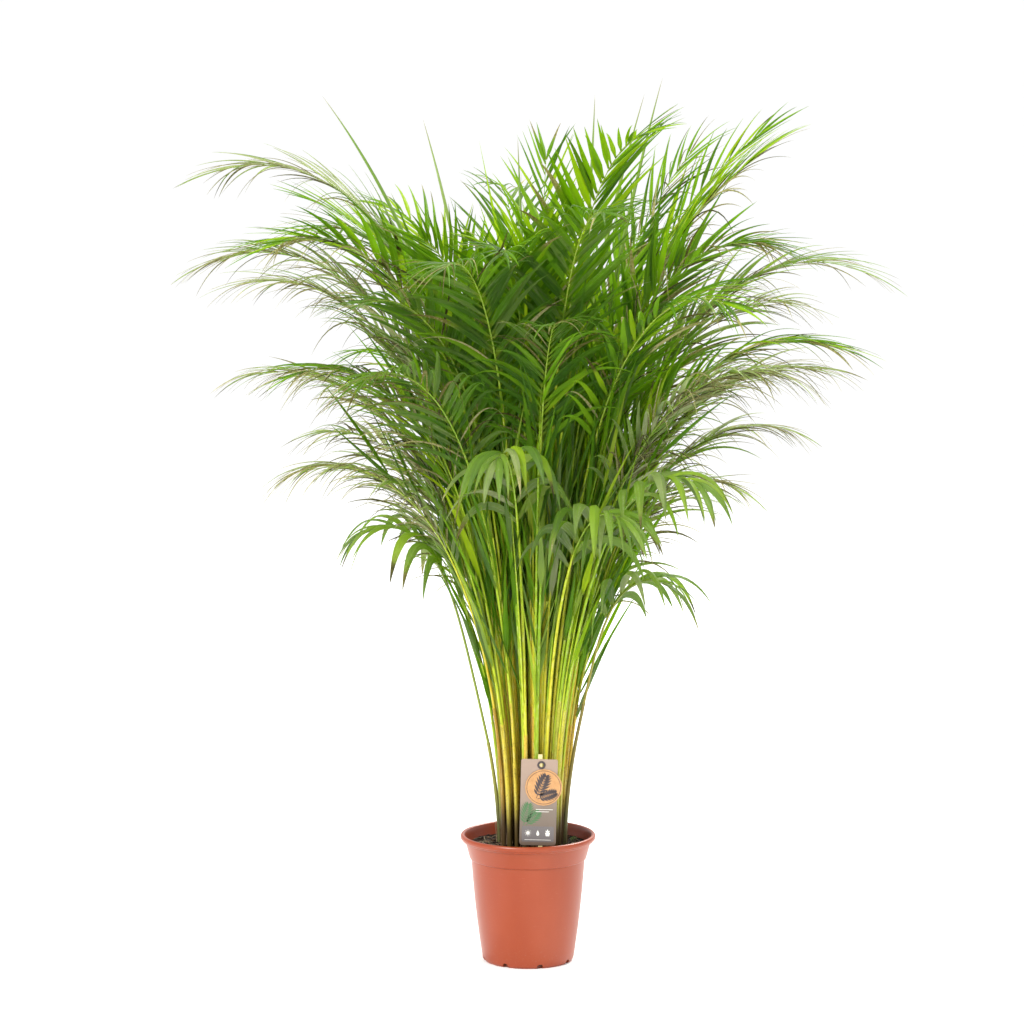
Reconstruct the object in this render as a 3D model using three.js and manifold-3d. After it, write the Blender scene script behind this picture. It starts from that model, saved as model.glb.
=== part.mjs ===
// A feather palm in a plastic nursery pot: many slender stems planted close together, each
// carrying one arching frond, with a few unopened spear leaves among them and a care label on a
// stake. Millimetres and degrees, +Z up. The origin is the centre of the pot's foot.

import * as THREE from "three";
import { mergeVertices } from "three/addons/utils/BufferGeometryUtils.js";
import Module from "manifold-3d";

const wasm = await Module();
wasm.setup();

const { degToRad, lerp } = THREE.MathUtils;
const UP = new THREE.Vector3(0, 0, 1);

// ---------------------------------------------------------------- driving dimensions

const GAP = 0.3; // air between two pieces that touch on the real plant

const POT = {
  height: 199,
  rimRadius: 105, // outermost point of the rolled rim
  collar: { height: 187, radius: 97.4, ledge: 2.4 }, // where it meets the rim, and its step
  shoulderRadius: 88.2, // wall just under the collar's ledge
  shoulderHeight: 160,
  belly: 1.7, // how far the wall bows outward half-way up
  footRadius: 71.5,
  footHeight: 8, // the wall rounds off into the foot below this
  wall: 1.8,
  floor: 5, // top of the floor
  groove: { inner: 34, outer: 60, rise: 2.2, slope: 2 }, // a ring raised off the ground
  segments: 44,
};
const DRAIN = { count: 8, width: 9, height: 7, depth: 15, turn: 15 }; // slots in the foot's corner

const SOIL = { edgeHeight: 181, crown: 3.5, roughness: 1.3, segments: 30 };

const BUNDLE = {
  stems: 53,
  radius: 53, // the outermost stem's distance from the bundle's axis at the soil
  axisX: 8, // the plants stand a little to the right of the pot's axis
  sunk: 22, // how deep the stems stand in the soil
};
const GOLDEN_ANGLE = 137.508;
const MIDLINE_STEPS = 120;

const LEAN_SETS_IN = 350; // a stem leaves the soil upright and has its full lean this far up

// How the fronds change from the heart of the bundle (rank 0) to its skirt (rank 1): the lean of
// the stem, the further bend of the frond and how late it sets in, and the length of the stem.
const STOREYS = [
  { rank: 0.0, lean: 1.5, bend: 22, power: 3.0, length: 1100 },
  { rank: 0.12, lean: 5.0, bend: 60, power: 4.5, length: 1190 },
  { rank: 0.25, lean: 7.5, bend: 90, power: 5.0, length: 1215 },
  { rank: 0.45, lean: 9.6, bend: 88, power: 4.4, length: 1100 },
  { rank: 0.65, lean: 10.8, bend: 88, power: 3.9, length: 955 },
  { rank: 0.85, lean: 12.0, bend: 93, power: 3.6, length: 790 },
  { rank: 1.0, lean: 14.5, bend: 90, power: 4.8, length: 600 },
];
const VARIATION = { azimuth: 4, lean: 0.5, bend: 7, length: 0.03, roll: 16, sway: 22 };

// Unopened leaves, by stem number.
const SPEARS = {
  0: { lean: 4.5, bend: 12, power: 2.0, length: 1195, sway: 0 },
  1: { lean: 8.5, bend: 14, power: 2.5, length: 1165, sway: -10 },
  3: { lean: 12.0, bend: 18, power: 2.5, length: 1225, sway: 135 },
  4: { lean: 7.0, bend: 30, power: 2.5, length: 1235, sway: 0 },
  5: { lean: 8.2, bend: 8, power: 2.5, length: 1225, sway: 10 },
  6: { lean: 2.0, bend: 6, power: 2.5, length: 1115, sway: 0 },
};

// Fronds that are placed one by one, by stem number: those that shape the outline seen from the
// front, the tall ones that face the front, and the two thin outliers of the skirt.
const PLACED = {
  17: { lean: 7.4, bend: 97, power: 4.8, length: 1265 },
  9: { lean: 7.0, bend: 62, power: 4.0, length: 1100 },
  14: { lean: 7.5, bend: 75, power: 4.5, length: 1120 },
  12: { lean: 8.4, bend: 98, power: 4.6, length: 1165 },
  25: { lean: 9.4, bend: 98, power: 4.4, length: 1150 },
  30: { lean: 10.0, bend: 90, power: 4.2, length: 1070 },
  38: { lean: 10.2, bend: 88, power: 3.8, length: 925 },
  46: { lean: 11.0, bend: 94, power: 3.6, length: 795 },
  51: { lean: 12.5, bend: 95, power: 8.0, length: 585, leanSetsIn: 200, leafStart: 0.79 },
  8: { lean: 7.5, bend: 50, power: 3.4, length: 1205 },
  13: { lean: 6.5, bend: 47, power: 3.4, length: 1165 },
  16: { lean: 6.0, bend: 42, power: 3.4, length: 1140 },
  21: { lean: 10.4, bend: 100, power: 4.0, length: 1150 },
  26: { lean: 11.0, bend: 92, power: 3.7, length: 1020 },
  34: { lean: 11.0, bend: 85, power: 3.7, length: 940 },
  42: { lean: 11.6, bend: 90, power: 3.6, length: 830 },
  50: { lean: 14.5, bend: 100, power: 3.8, length: 740 },
  47: { lean: 12.0, bend: 105, power: 8.0, length: 510, leanSetsIn: 200, leafStart: 0.77 },
  11: { lean: 5.5, bend: 42, power: 4.0, length: 1120, turn: 10, roll: 0 },
  2: { lean: 4.0, bend: 40, power: 4.0, length: 1010 },
  7: { lean: 6.0, bend: 60, power: 4.0, length: 1060 },
  36: { lean: 9.0, bend: 70, power: 4.0, length: 980 },
  49: { lean: 9.5, bend: 95, power: 4.5, length: 800 },
  44: { lean: 10.5, bend: 95, power: 4.5, length: 690 },
  15: { lean: 8.0, bend: 90, power: 5.0, length: 1120 },
  18: { lean: 9.4, bend: 93, power: 4.8, length: 1150 },
  20: { lean: 9.0, bend: 90, power: 4.6, length: 1050 },
  33: { lean: 10.6, bend: 92, power: 3.9, length: 965 },
};
const FRONT = { bare: 0.2, taller: 230 }; // the side of the label: more bare stalk, taller skirt
const LEAVES_FROM = [0.62, 0.44]; // share of the stem below its leaflets, on short and tall stems

const RACHIS = { baseRadius: 4.4, leafRadius: 2.7, tipRadius: 0.9 };
const LEAFLET = {
  pairs: 10, // on a full-length frond
  fewestPairs: 7, // on the shortest
  straightPairs: 3, // towards the tip, which are too short to arch
  length: 200,
  width: 16,
  rootWidth: 11,
  fold: 1.5, // height of the folded midrib above the leaflet's edges
  sweep: [45, 21], // from the rachis, at the frond's foot and at its tip
  forward: 0.25, // how far they turn towards the frond's tip
  rise: [14, 3], // how far the two rows are raised into a V, heart and skirt
  droop: [0.2, 1.4], // heart and skirt
  straightDroop: 0.8, // what the straight ones have of it
};
const TERMINAL = { length: 95, width: 9 };
const SPEAR = { share: 0.3, radius: 3.1 };

const CARD = { width: 56, height: 134, corner: 5, thick: 0.9, x: 14, y: -79, bottom: 197, tilt: 1.4 };
const EYELET = { radius: 3.4, x: 3, fromTop: 9 };
const BADGE = { radius: 28.3, x: 7.3, fromTop: 43.5, thick: 0.9 };
const STAKE = { width: 6.2, thick: 2, x: 4.4, above: 7, sunk: 26 };

// ---------------------------------------------------------------- solids and meshes

function solidOf(geometry) {
  const bare = geometry.clone();
  bare.deleteAttribute("normal");
  bare.deleteAttribute("uv");
  const merged = mergeVertices(bare, 1e-4);
  return new wasm.Manifold(
    new wasm.Mesh({
      numProp: 3,
      vertProperties: new Float32Array(merged.attributes.position.array),
      triVerts: new Uint32Array(merged.index.array),
    }),
  );
}

function geometryOf(solid) {
  const { vertProperties, triVerts } = solid.getMesh();
  const geometry = new THREE.BufferGeometry();
  geometry.setAttribute("position", new THREE.BufferAttribute(vertProperties, 3));
  geometry.setIndex(new THREE.BufferAttribute(triVerts, 1));
  geometry.computeVertexNormals();
  return geometry;
}

function named(name, geometry, material) {
  const mesh = new THREE.Mesh(geometry, material);
  mesh.name = name;
  return mesh;
}

// A LatheGeometry of [radius, height] points, turned to stand on +Z.
function turned(profile, segments) {
  const points = profile.map(([r, z]) => new THREE.Vector2(r, z));
  return new THREE.LatheGeometry(points, segments).rotateX(Math.PI / 2);
}

// A number from 0 to 1 that depends only on the stem and on what it is for.
function draw(stem, purpose) {
  const value = Math.sin(stem * 12.9898 + purpose * 78.233) * 43758.5453;
  return value - Math.floor(value);
}
const spread = (stem, purpose) => 2 * draw(stem, purpose) - 1;

// ---------------------------------------------------------------- pot

const WALL_SHARES = [0, 0.2, 0.45, 0.72, 1]; // of the way from the foot to the shoulder

// A point of the wall's outside, share of the way up.
const wallAt = (share) => [
  lerp(POT.footRadius, POT.shoulderRadius, share) + POT.belly * Math.sin(Math.PI * share),
  lerp(POT.footHeight, POT.shoulderHeight, share),
];
const innerRadiusAt = (z) =>
  wallAt(Math.max(0, (z - POT.footHeight) / (POT.shoulderHeight - POT.footHeight)))[0] - POT.wall;

function pot() {
  const { height, rimRadius, shoulderRadius, shoulderHeight, footRadius, wall, groove } = POT;
  const { collar } = POT;
  const outline = [
    [0, 0],
    [groove.inner, 0],
    [groove.inner + groove.slope, groove.rise],
    [groove.outer - groove.slope, groove.rise],
    [groove.outer, 0],
    [footRadius - 3.5, 0],
    [footRadius - 1, 3.5],
    ...WALL_SHARES.map(wallAt),
    [shoulderRadius + collar.ledge, shoulderHeight + 1.4],
    [collar.radius, collar.height],
    [rimRadius - 3.2, height - 10.5],
    [rimRadius - 0.6, height - 7.6],
    [rimRadius, height - 4],
    [rimRadius - 1.4, height - 0.8],
    [rimRadius - 4, height],
    [rimRadius - 6.6, height - 1.2],
    [rimRadius - 8.2, height - 6],
    [collar.radius - wall, collar.height],
    [shoulderRadius + collar.ledge - wall, shoulderHeight + 1.4],
    ...WALL_SHARES.slice(1)
      .reverse()
      .map((share) => [wallAt(share)[0] - wall, wallAt(share)[1]]),
    [innerRadiusAt(POT.floor), POT.floor],
    [0, POT.floor],
  ];
  let body = solidOf(turned(outline, POT.segments));
  for (let k = 0; k < DRAIN.count; k++) {
    const slot = new THREE.BoxGeometry(DRAIN.depth, DRAIN.width, 2 * DRAIN.height)
      .translate(footRadius, 0, 0)
      .rotateZ((k / DRAIN.count) * 2 * Math.PI + degToRad(DRAIN.turn));
    body = body.subtract(solidOf(slot));
  }
  return body;
}

// ---------------------------------------------------------------- stems and their midlines

function storeyAt(rank) {
  const above = STOREYS.findIndex((s) => s.rank >= rank);
  const [a, b] = [STOREYS[Math.max(0, above - 1)], STOREYS[Math.max(1, above)]];
  const share = (rank - a.rank) / (b.rank - a.rank);
  const mix = (key) => lerp(a[key], b[key], share);
  return { lean: mix("lean"), bend: mix("bend"), power: mix("power"), length: mix("length") };
}

// Everything that shapes stem number i. Stems are set out like seeds in a sunflower, so that
// each leans out in its own direction and none crosses another.
function stemNumber(i) {
  const rank = i / (BUNDLE.stems - 1);
  const radius = BUNDLE.radius * Math.sqrt((i + 0.5) / BUNDLE.stems);
  const seat = degToRad(i * GOLDEN_ANGLE);
  const stem = {
    i,
    rank,
    root: new THREE.Vector3(
      BUNDLE.axisX + radius * Math.cos(seat),
      radius * Math.sin(seat),
      SOIL.edgeHeight - BUNDLE.sunk,
    ),
    azimuth: seat + degToRad(VARIATION.azimuth * spread(i, 1)),
    roll: degToRad(VARIATION.roll * spread(i, 5)),
    sway: VARIATION.sway * spread(i, 6),
    spear: i in SPEARS,
    leanSetsIn: LEAN_SETS_IN,
    ...storeyAt(rank),
  };
  stem.lean += VARIATION.lean * spread(i, 2);
  stem.bend += VARIATION.bend * spread(i, 3);
  const facing = Math.max(0, -Math.sin(stem.azimuth));
  stem.length *= 1 + VARIATION.length * spread(i, 4);
  stem.length += FRONT.taller * facing * rank;
  Object.assign(stem, SPEARS[i] ?? PLACED[i]);
  stem.azimuth += degToRad(stem.turn ?? 0);
  stem.leafStart ??= stem.spear
    ? 1 - SPEAR.share
    : lerp(...LEAVES_FROM, Math.min(1, stem.length / 1200)) +
      FRONT.bare * Math.max(0, -Math.sin(stem.azimuth));
  stem.out = new THREE.Vector3(Math.cos(stem.azimuth), Math.sin(stem.azimuth), 0);
  stem.side = new THREE.Vector3(-Math.sin(stem.azimuth), Math.cos(stem.azimuth), 0);
  stem.midline = midline(stem);
  return stem;
}

// Points along the stem and frond: it leaves the soil upright and tilts further and further
// towards its tip, drifting a little to one side.
function midline(stem) {
  const step = stem.length / MIDLINE_STEPS;
  const points = [];
  let away = 0;
  let rise = 0;
  for (let k = 0; k <= MIDLINE_STEPS; k++) {
    const drift = stem.sway * (k / MIDLINE_STEPS) ** 3;
    points.push(
      stem.root
        .clone()
        .addScaledVector(stem.out, away)
        .addScaledVector(UP, rise)
        .addScaledVector(stem.side, drift),
    );
    const share = (k + 0.5) / MIDLINE_STEPS;
    const lean = stem.lean * Math.min(1, (share * stem.length) / stem.leanSetsIn);
    const tilt = degToRad(lean + stem.bend * share ** stem.power);
    away += step * Math.sin(tilt);
    rise += step * Math.cos(tilt);
  }
  return points;
}

// The place and the three directions at share u of the stem: along it, to its side, and
// towards the upper face of its frond.
function frameAt(stem, u) {
  const x = Math.min(u, 0.99999) * MIDLINE_STEPS;
  const k = Math.floor(x);
  const [a, b] = [stem.midline[k], stem.midline[k + 1]];
  const along = b.clone().sub(a).normalize();
  const level = stem.side.clone().addScaledVector(along, -stem.side.dot(along)).normalize();
  const side = level.applyAxisAngle(along, stem.roll);
  return {
    place: a.clone().lerp(b, x - k),
    along,
    side,
    top: along.clone().cross(side),
  };
}

function radiusAt(stem, u) {
  const { baseRadius, leafRadius, tipRadius } = RACHIS;
  if (u < stem.leafStart) return lerp(baseRadius, leafRadius, u / stem.leafStart);
  const v = (u - stem.leafStart) / (1 - stem.leafStart);
  return stem.spear ? SPEAR.radius * Math.sin(Math.PI * (0.28 + 0.7 * v)) : lerp(leafRadius, tipRadius, v);
}

// ---------------------------------------------------------------- a closed skin of triangles

class Skin {
  places = [];
  faces = [];

  point(place) {
    return this.places.push(place.x, place.y, place.z) / 3 - 1;
  }

  placeOf(n) {
    return new THREE.Vector3().fromArray(this.places, 3 * n);
  }

  // Joins two rings that run anticlockwise seen from the second. Each panel is folded outward
  // along one of its diagonals, so that a thin twisted blade never cuts through itself.
  band(from, to) {
    from.forEach((a, n) => {
      const m = (n + 1) % from.length;
      const [b, c, d] = [from[m], to[m], to[n]];
      const [ab, ac, ad] = [b, c, d].map((end) => this.placeOf(end).sub(this.placeOf(a)));
      if (ab.cross(ac).dot(ad) > 0) this.faces.push(a, b, d, b, c, d);
      else this.faces.push(a, b, c, a, c, d);
    });
  }

  close(ring, place) {
    const tip = this.point(place);
    ring.forEach((a, n) => this.faces.push(a, ring[(n + 1) % ring.length], tip));
  }

  geometry() {
    const geometry = new THREE.BufferGeometry();
    geometry.setAttribute("position", new THREE.Float32BufferAttribute(this.places, 3));
    geometry.setIndex(this.faces);
    geometry.computeVertexNormals();
    return geometry;
  }
}

// The three corners of a stem's section: right, top and left.
function section(skin, stem, u) {
  const { place, side, top } = frameAt(stem, u);
  const r = radiusAt(stem, u);
  const corner = (x, y) =>
    skin.point(place.clone().addScaledVector(side, x * r).addScaledVector(top, y * r));
  return { right: corner(0.87, -0.5), top: corner(0, 1), left: corner(-0.87, -0.5) };
}

// ---------------------------------------------------------------- leaflets

const pairsOf = (stem) =>
  Math.round(lerp(LEAFLET.fewestPairs, LEAFLET.pairs, Math.min(1, (stem.length - 550) / 550)));

const leafletLength = (stem, v) =>
  LEAFLET.length *
  lerp(0.8, 1, Math.min(1, (stem.length - 550) / 550)) *
  (0.7 + 0.3 * Math.sin(Math.PI * (0.1 + 0.75 * v))) *
  (1 - 0.35 * v ** 3);

const arches = (stem, v) => v < 1 - LEAFLET.straightPairs / pairsOf(stem);

// The leaflet's line from its root: it sets off between the rachis and the side, raised, and
// falls over under its own weight. bent = { rise, sweep, length } is how it is bent clear.
function leafletLine(stem, v, hand, bent) {
  const frame = frameAt(stem, lerp(stem.leafStart, 1, v));
  const sweep = degToRad(lerp(...LEAFLET.sweep, v) + bent.sweep);
  const rise = degToRad(lerp(...LEAFLET.rise, stem.rank) + bent.rise);
  const away = frame.along
    .clone()
    .multiplyScalar(Math.cos(sweep))
    .addScaledVector(frame.side, hand * Math.sin(sweep) * Math.cos(rise))
    .addScaledVector(frame.top, Math.sin(sweep) * Math.sin(rise));
  const droop = lerp(...LEAFLET.droop, stem.rank) * (arches(stem, v) ? 1 : LEAFLET.straightDroop);
  const steps = 8;
  const step = (leafletLength(stem, v) * bent.length) / steps;
  const line = [frame.place.clone()];
  for (let k = 0; k < steps; k++) {
    const share = (k + 0.5) / steps;
    const heading = away
      .clone()
      .addScaledVector(frame.along, LEAFLET.forward * share)
      .addScaledVector(UP, -droop * share ** 1.5);
    line.push(line[k].clone().addScaledVector(heading.normalize(), step));
  }
  const chord = line[steps].clone().sub(line[0]).normalize();
  const across = frame.along.clone().addScaledVector(chord, -frame.along.dot(chord)).normalize();
  const crest = across.clone().cross(chord).multiplyScalar(hand);
  return { middle: line[steps / 2], tip: line[steps], across, crest };
}

// Points spread over all leaflets and stems, to find where two would touch.
class Clearance {
  static cell = 12;
  cells = new Map();

  key(place, dx = 0, dy = 0, dz = 0) {
    const part = (value, shift) => Math.floor(value / Clearance.cell) + shift + 512;
    return (part(place.x, dx) * 1024 + part(place.y, dy)) * 1024 + part(place.z, dz);
  }

  add(spots) {
    for (const spot of spots) {
      const key = this.key(spot.place);
      if (!this.cells.has(key)) this.cells.set(key, []);
      this.cells.get(key).push(spot);
    }
  }

  meets(spots) {
    const shifts = [-1, 0, 1];
    return spots.some((spot) =>
      shifts.some((dx) =>
        shifts.some((dy) =>
          shifts.some((dz) =>
            (this.cells.get(this.key(spot.place, dx, dy, dz)) ?? []).some(
              (other) =>
                !(other.owner === spot.owner && other.root && spot.root) &&
                other.place.distanceTo(spot.place) < other.reach + spot.reach,
            ),
          ),
        ),
      ),
    );
  }
}

const SPOT = { pitch: 4, reach: 3.7, rootShare: 0.22 };

// Spots over a flat piece between the lines a-b and c-d.
function spotsBetween([a, b], [c, d], owner, shares, reach = SPOT.reach) {
  const spots = [];
  const rows = Math.ceil(a.clone().add(b).distanceTo(c.clone().add(d)) / 2 / SPOT.pitch);
  for (let n = 0; n <= rows; n++) {
    const share = lerp(...shares, n / rows);
    const [from, to] = [a.clone().lerp(c, n / rows), b.clone().lerp(d, n / rows)];
    const columns = Math.max(1, Math.ceil(from.distanceTo(to) / SPOT.pitch));
    for (let m = 0; m <= columns; m++)
      spots.push({
        place: from.clone().lerp(to, m / columns),
        owner,
        reach,
        root: share < SPOT.rootShare,
      });
  }
  return spots;
}

function stemSpots(stem) {
  return Array.from({ length: Math.ceil(stem.length / SPOT.pitch) }, (_, n) => {
    const u = (n * SPOT.pitch) / stem.length;
    return {
      place: frameAt(stem, u).place,
      owner: stem.i,
      reach: radiusAt(stem, u) + 2.2,
      root: true,
    };
  });
}

// The ways a leaflet is bent, tried in turn, until it is clear of the others.
const BENDS = [
  { rise: 0, sweep: 0, length: 1 },
  { rise: 9, sweep: 0, length: 1 },
  { rise: -9, sweep: 0, length: 1 },
  { rise: 0, sweep: 8, length: 1 },
  { rise: 0, sweep: -8, length: 1 },
  { rise: 18, sweep: 0, length: 0.95 },
  { rise: -18, sweep: 0, length: 0.95 },
  { rise: 14, sweep: 9, length: 0.9 },
  { rise: -14, sweep: 9, length: 0.9 },
  { rise: 14, sweep: -9, length: 0.9 },
  { rise: -14, sweep: -9, length: 0.9 },
  { rise: 30, sweep: 0, length: 0.85 },
  { rise: -28, sweep: 0, length: 0.85 },
  { rise: 0, sweep: 0, length: 0.7 },
  { rise: 12, sweep: -6, length: 0.65 },
  { rise: -12, sweep: 6, length: 0.65 },
  { rise: 25, sweep: 8, length: 0.6 },
  { rise: -25, sweep: -8, length: 0.6 },
  { rise: 0, sweep: 0, length: 0.5 },
];

// Grows a leaflet out of one triangle of the rachis, given as [rear, front, ridge] corners.
// It stays a plain triangle where no way of bending the leaflet is clear.
function growLeaflet(skin, stem, v, hand, corners, clearance) {
  const [rear, front, ridge] = corners;
  const arched = arches(stem, v);
  const root = [skin.placeOf(rear), skin.placeOf(front)];
  const inOrder = ([a, b, c]) => (hand > 0 ? [a, c, b] : [a, b, c]);
  for (const bent of BENDS) {
    const { middle, tip, across, crest } = leafletLine(stem, v, hand, bent);
    const edges = [-0.5, 0.5].map((x) => middle.clone().addScaledVector(across, x * LEAFLET.width));
    const spots = arched
      ? [
          ...spotsBetween(root, edges, stem.i, [0, 0.5]),
          ...spotsBetween(edges, [tip, tip], stem.i, [0.5, 1]),
        ]
      : spotsBetween(root, [tip, tip], stem.i, [0, 1]);
    if (clearance.meets(spots)) continue;
    clearance.add(spots);
    let ring = inOrder([rear, front, ridge]);
    if (arched) {
      const fold = middle.clone().addScaledVector(crest, LEAFLET.fold);
      const next = inOrder([...edges, fold].map((place) => skin.point(place)));
      skin.band(ring, next);
      ring = next;
    }
    skin.close(ring, tip);
    return true;
  }
  skin.faces.push(...inOrder([rear, front, ridge]));
  return false;
}

// ---------------------------------------------------------------- a stem with its frond

const STALK_STATIONS = [0.25, 0.47, 0.68, 0.86]; // shares of the bare stalk

// Where the bare stalk's sections lie: it stays straight until it is out of the soil.
const stalkShares = (stem) => [
  0,
  (BUNDLE.sunk + 2 * SOIL.crown) / stem.length,
  ...STALK_STATIONS.map((share) => share * stem.leafStart),
];

function frond(stem, clearance) {
  const skin = new Skin();
  const pairs = pairsOf(stem);
  const stations = stalkShares(stem).map((u) => ({ u }));
  for (let n = 0; n < pairs; n++) {
    const v = n / (pairs - 0.4);
    const u = lerp(stem.leafStart, 1, v);
    stations.push({ u }, { u: u + LEAFLET.rootWidth / stem.length, leaflets: v });
  }
  let from = section(skin, stem, 0);
  skin.faces.push(from.left, from.top, from.right);
  for (const { u, leaflets } of stations.slice(1)) {
    const to = section(skin, stem, u);
    skin.faces.push(from.left, from.right, to.right, from.left, to.right, to.left);
    skin.faces.push(from.right, from.top, to.top, from.top, from.left, to.top);
    if (leaflets === undefined) {
      skin.faces.push(from.right, to.top, to.right, from.left, to.left, to.top);
    } else {
      growLeaflet(skin, stem, leaflets, 1, [from.right, to.right, to.top], clearance);
      growLeaflet(skin, stem, leaflets, -1, [from.left, to.left, to.top], clearance);
    }
    from = to;
  }
  const end = frameAt(stem, 1);
  const fall = end.along.clone().addScaledVector(UP, -0.35).normalize();
  const middle = end.place.clone().addScaledVector(end.along, TERMINAL.length * 0.4);
  const edge = (hand) =>
    skin.point(middle.clone().addScaledVector(end.side, (hand * TERMINAL.width) / 2));
  const fold = skin.point(middle.clone().addScaledVector(end.top, LEAFLET.fold));
  const blade = [edge(1), fold, edge(-1)];
  skin.band([from.right, from.top, from.left], blade);
  skin.close(blade, middle.addScaledVector(fall, TERMINAL.length * 0.6));
  return skin.geometry();
}

const SPEAR_STATIONS = [0.15, 0.4, 0.7]; // shares of the closed leaf

function spear(stem) {
  const skin = new Skin();
  const shares = [
    ...stalkShares(stem),
    ...SPEAR_STATIONS.map((share) => lerp(stem.leafStart, 1, share)),
  ];
  const rings = shares.map((u) => {
    const { right, top, left } = section(skin, stem, u);
    return [right, top, left];
  });
  skin.faces.push(...[...rings[0]].reverse());
  rings.slice(1).forEach((ring, n) => skin.band(rings[n], ring));
  skin.close(rings.at(-1), frameAt(stem, 1).place);
  return skin.geometry();
}

// ---------------------------------------------------------------- soil

// A body of potting soil that fills the pot, with a plain hole for each stem and for the stake.
function soil(stems) {
  const bottom = POT.floor + GAP;
  const edge = SOIL.edgeHeight;
  const edgeRadius = lerp(
    POT.shoulderRadius + POT.collar.ledge,
    POT.collar.radius,
    (edge - POT.shoulderHeight) / (POT.collar.height - POT.shoulderHeight),
  );
  const outline = [
    [0, bottom],
    [innerRadiusAt(bottom) - GAP, bottom],
    ...WALL_SHARES.slice(1).map((share) => [wallAt(share)[0] - POT.wall - GAP - 1, wallAt(share)[1]]),
    [edgeRadius - POT.wall - GAP - 1, edge],
    [72, edge + SOIL.crown * 0.5],
    [40, edge + SOIL.crown],
    [0, edge + SOIL.crown],
  ];
  const shape = turned(outline, SOIL.segments);
  const places = shape.attributes.position;
  for (let n = 0; n < places.count; n++) {
    const [x, y, z] = [places.getX(n), places.getY(n), places.getZ(n)];
    const bump = SOIL.roughness * Math.sin(x / 7 + 1) * Math.cos(y / 9);
    if (z > edge + 0.1) places.setZ(n, z + bump);
  }
  let body = solidOf(shape);
  for (const stem of stems) {
    const hole = new THREE.CylinderGeometry(5.7, 5.7, 2 * BUNDLE.sunk + 20, 6)
      .rotateX(Math.PI / 2)
      .translate(0, 0, BUNDLE.sunk + 10 - 3 * GAP)
      .translate(...stem.root);
    body = body.subtract(solidOf(hole));
  }
  return body.subtract(solidOf(stakeGeometry(GAP)));
}

// ---------------------------------------------------------------- care label

const cardTop = CARD.bottom + CARD.height;

function labelTilt(geometry) {
  return geometry
    .rotateY(degToRad(CARD.tilt))
    .translate(CARD.x, CARD.y, CARD.bottom);
}

// A flat shape drawn from the card's lower middle, x to the right and y up, standing upright.
function upright(shape, thick, inFront) {
  const curveSegments = 10;
  const flat = new THREE.ExtrudeGeometry(shape, { depth: thick, bevelEnabled: false, curveSegments });
  return labelTilt(flat.rotateX(Math.PI / 2).translate(0, -inFront, 0));
}

function card() {
  const { width, height, corner } = CARD;
  const [x, r] = [width / 2, corner];
  const shape = new THREE.Shape();
  shape.moveTo(-x + r, 0).lineTo(x - r, 0).absarc(x - r, r, r, -Math.PI / 2, 0);
  shape.lineTo(x, height - 2).lineTo(x - 2, height).lineTo(-x + 2, height).lineTo(-x, height - 2);
  shape.lineTo(-x, r).absarc(-x + r, r, r, Math.PI, 1.5 * Math.PI);
  const hole = new THREE.Path();
  hole.absarc(EYELET.x, height - EYELET.fromTop, EYELET.radius, 0, 2 * Math.PI, true);
  shape.holes.push(hole);
  return upright(shape, CARD.thick, 0);
}

function badge() {
  const shape = new THREE.Shape();
  shape.absarc(BADGE.x, CARD.height - BADGE.fromTop, BADGE.radius, 0, 2 * Math.PI);
  return upright(shape, BADGE.thick, CARD.thick + GAP);
}

function stakeGeometry(grown = 0) {
  const below = SOIL.edgeHeight - STAKE.sunk - CARD.bottom;
  const height = CARD.height + STAKE.above - below + 2 * grown;
  return new THREE.BoxGeometry(STAKE.width + 2 * grown, STAKE.thick + 2 * grown, height)
    .translate(0, STAKE.thick / 2 + GAP, below - grown + height / 2)
    .translate(CARD.x + STAKE.x, CARD.y, CARD.bottom);
}

// ---------------------------------------------------------------- the plant in its pot

const material = (color, roughness) =>
  new THREE.MeshStandardMaterial({ color, roughness, metalness: 0 });
const MATERIALS = {
  pot: material(0xc8623f, 0.45),
  soil: material(0x2b1d14, 0.95),
  frond: material(0x4f8a1c, 0.5),
  spear: material(0x7fa63c, 0.5),
  card: material(0xb3a698, 0.5),
  badge: material(0xd79a5c, 0.7),
  stake: material(0xe6d38c, 0.7),
};

const stems = Array.from({ length: BUNDLE.stems }, (_, i) => stemNumber(i));
const clearance = new Clearance();
stems.forEach((stem) => clearance.add(stemSpots(stem)));

const plant = new THREE.Group();
plant.add(named("pot", geometryOf(pot()), MATERIALS.pot));
plant.add(named("soil", geometryOf(soil(stems)), MATERIALS.soil));
plant.add(named("label_card", card(), MATERIALS.card));
plant.add(named("label_badge", badge(), MATERIALS.badge));
plant.add(named("label_stake", stakeGeometry(), MATERIALS.stake));
for (const stem of stems) {
  const number = String(stem.i + 1).padStart(2, "0");
  plant.add(
    stem.spear
      ? named("spear_" + number, spear(stem), MATERIALS.spear)
      : named("frond_" + number, frond(stem, clearance), MATERIALS.frond),
  );
}

export default plant;
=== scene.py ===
import math
from functools import partial
from math import cos, hypot, pi, radians, sin

import bmesh
import bpy
import numpy as np
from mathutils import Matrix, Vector, noise

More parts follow.
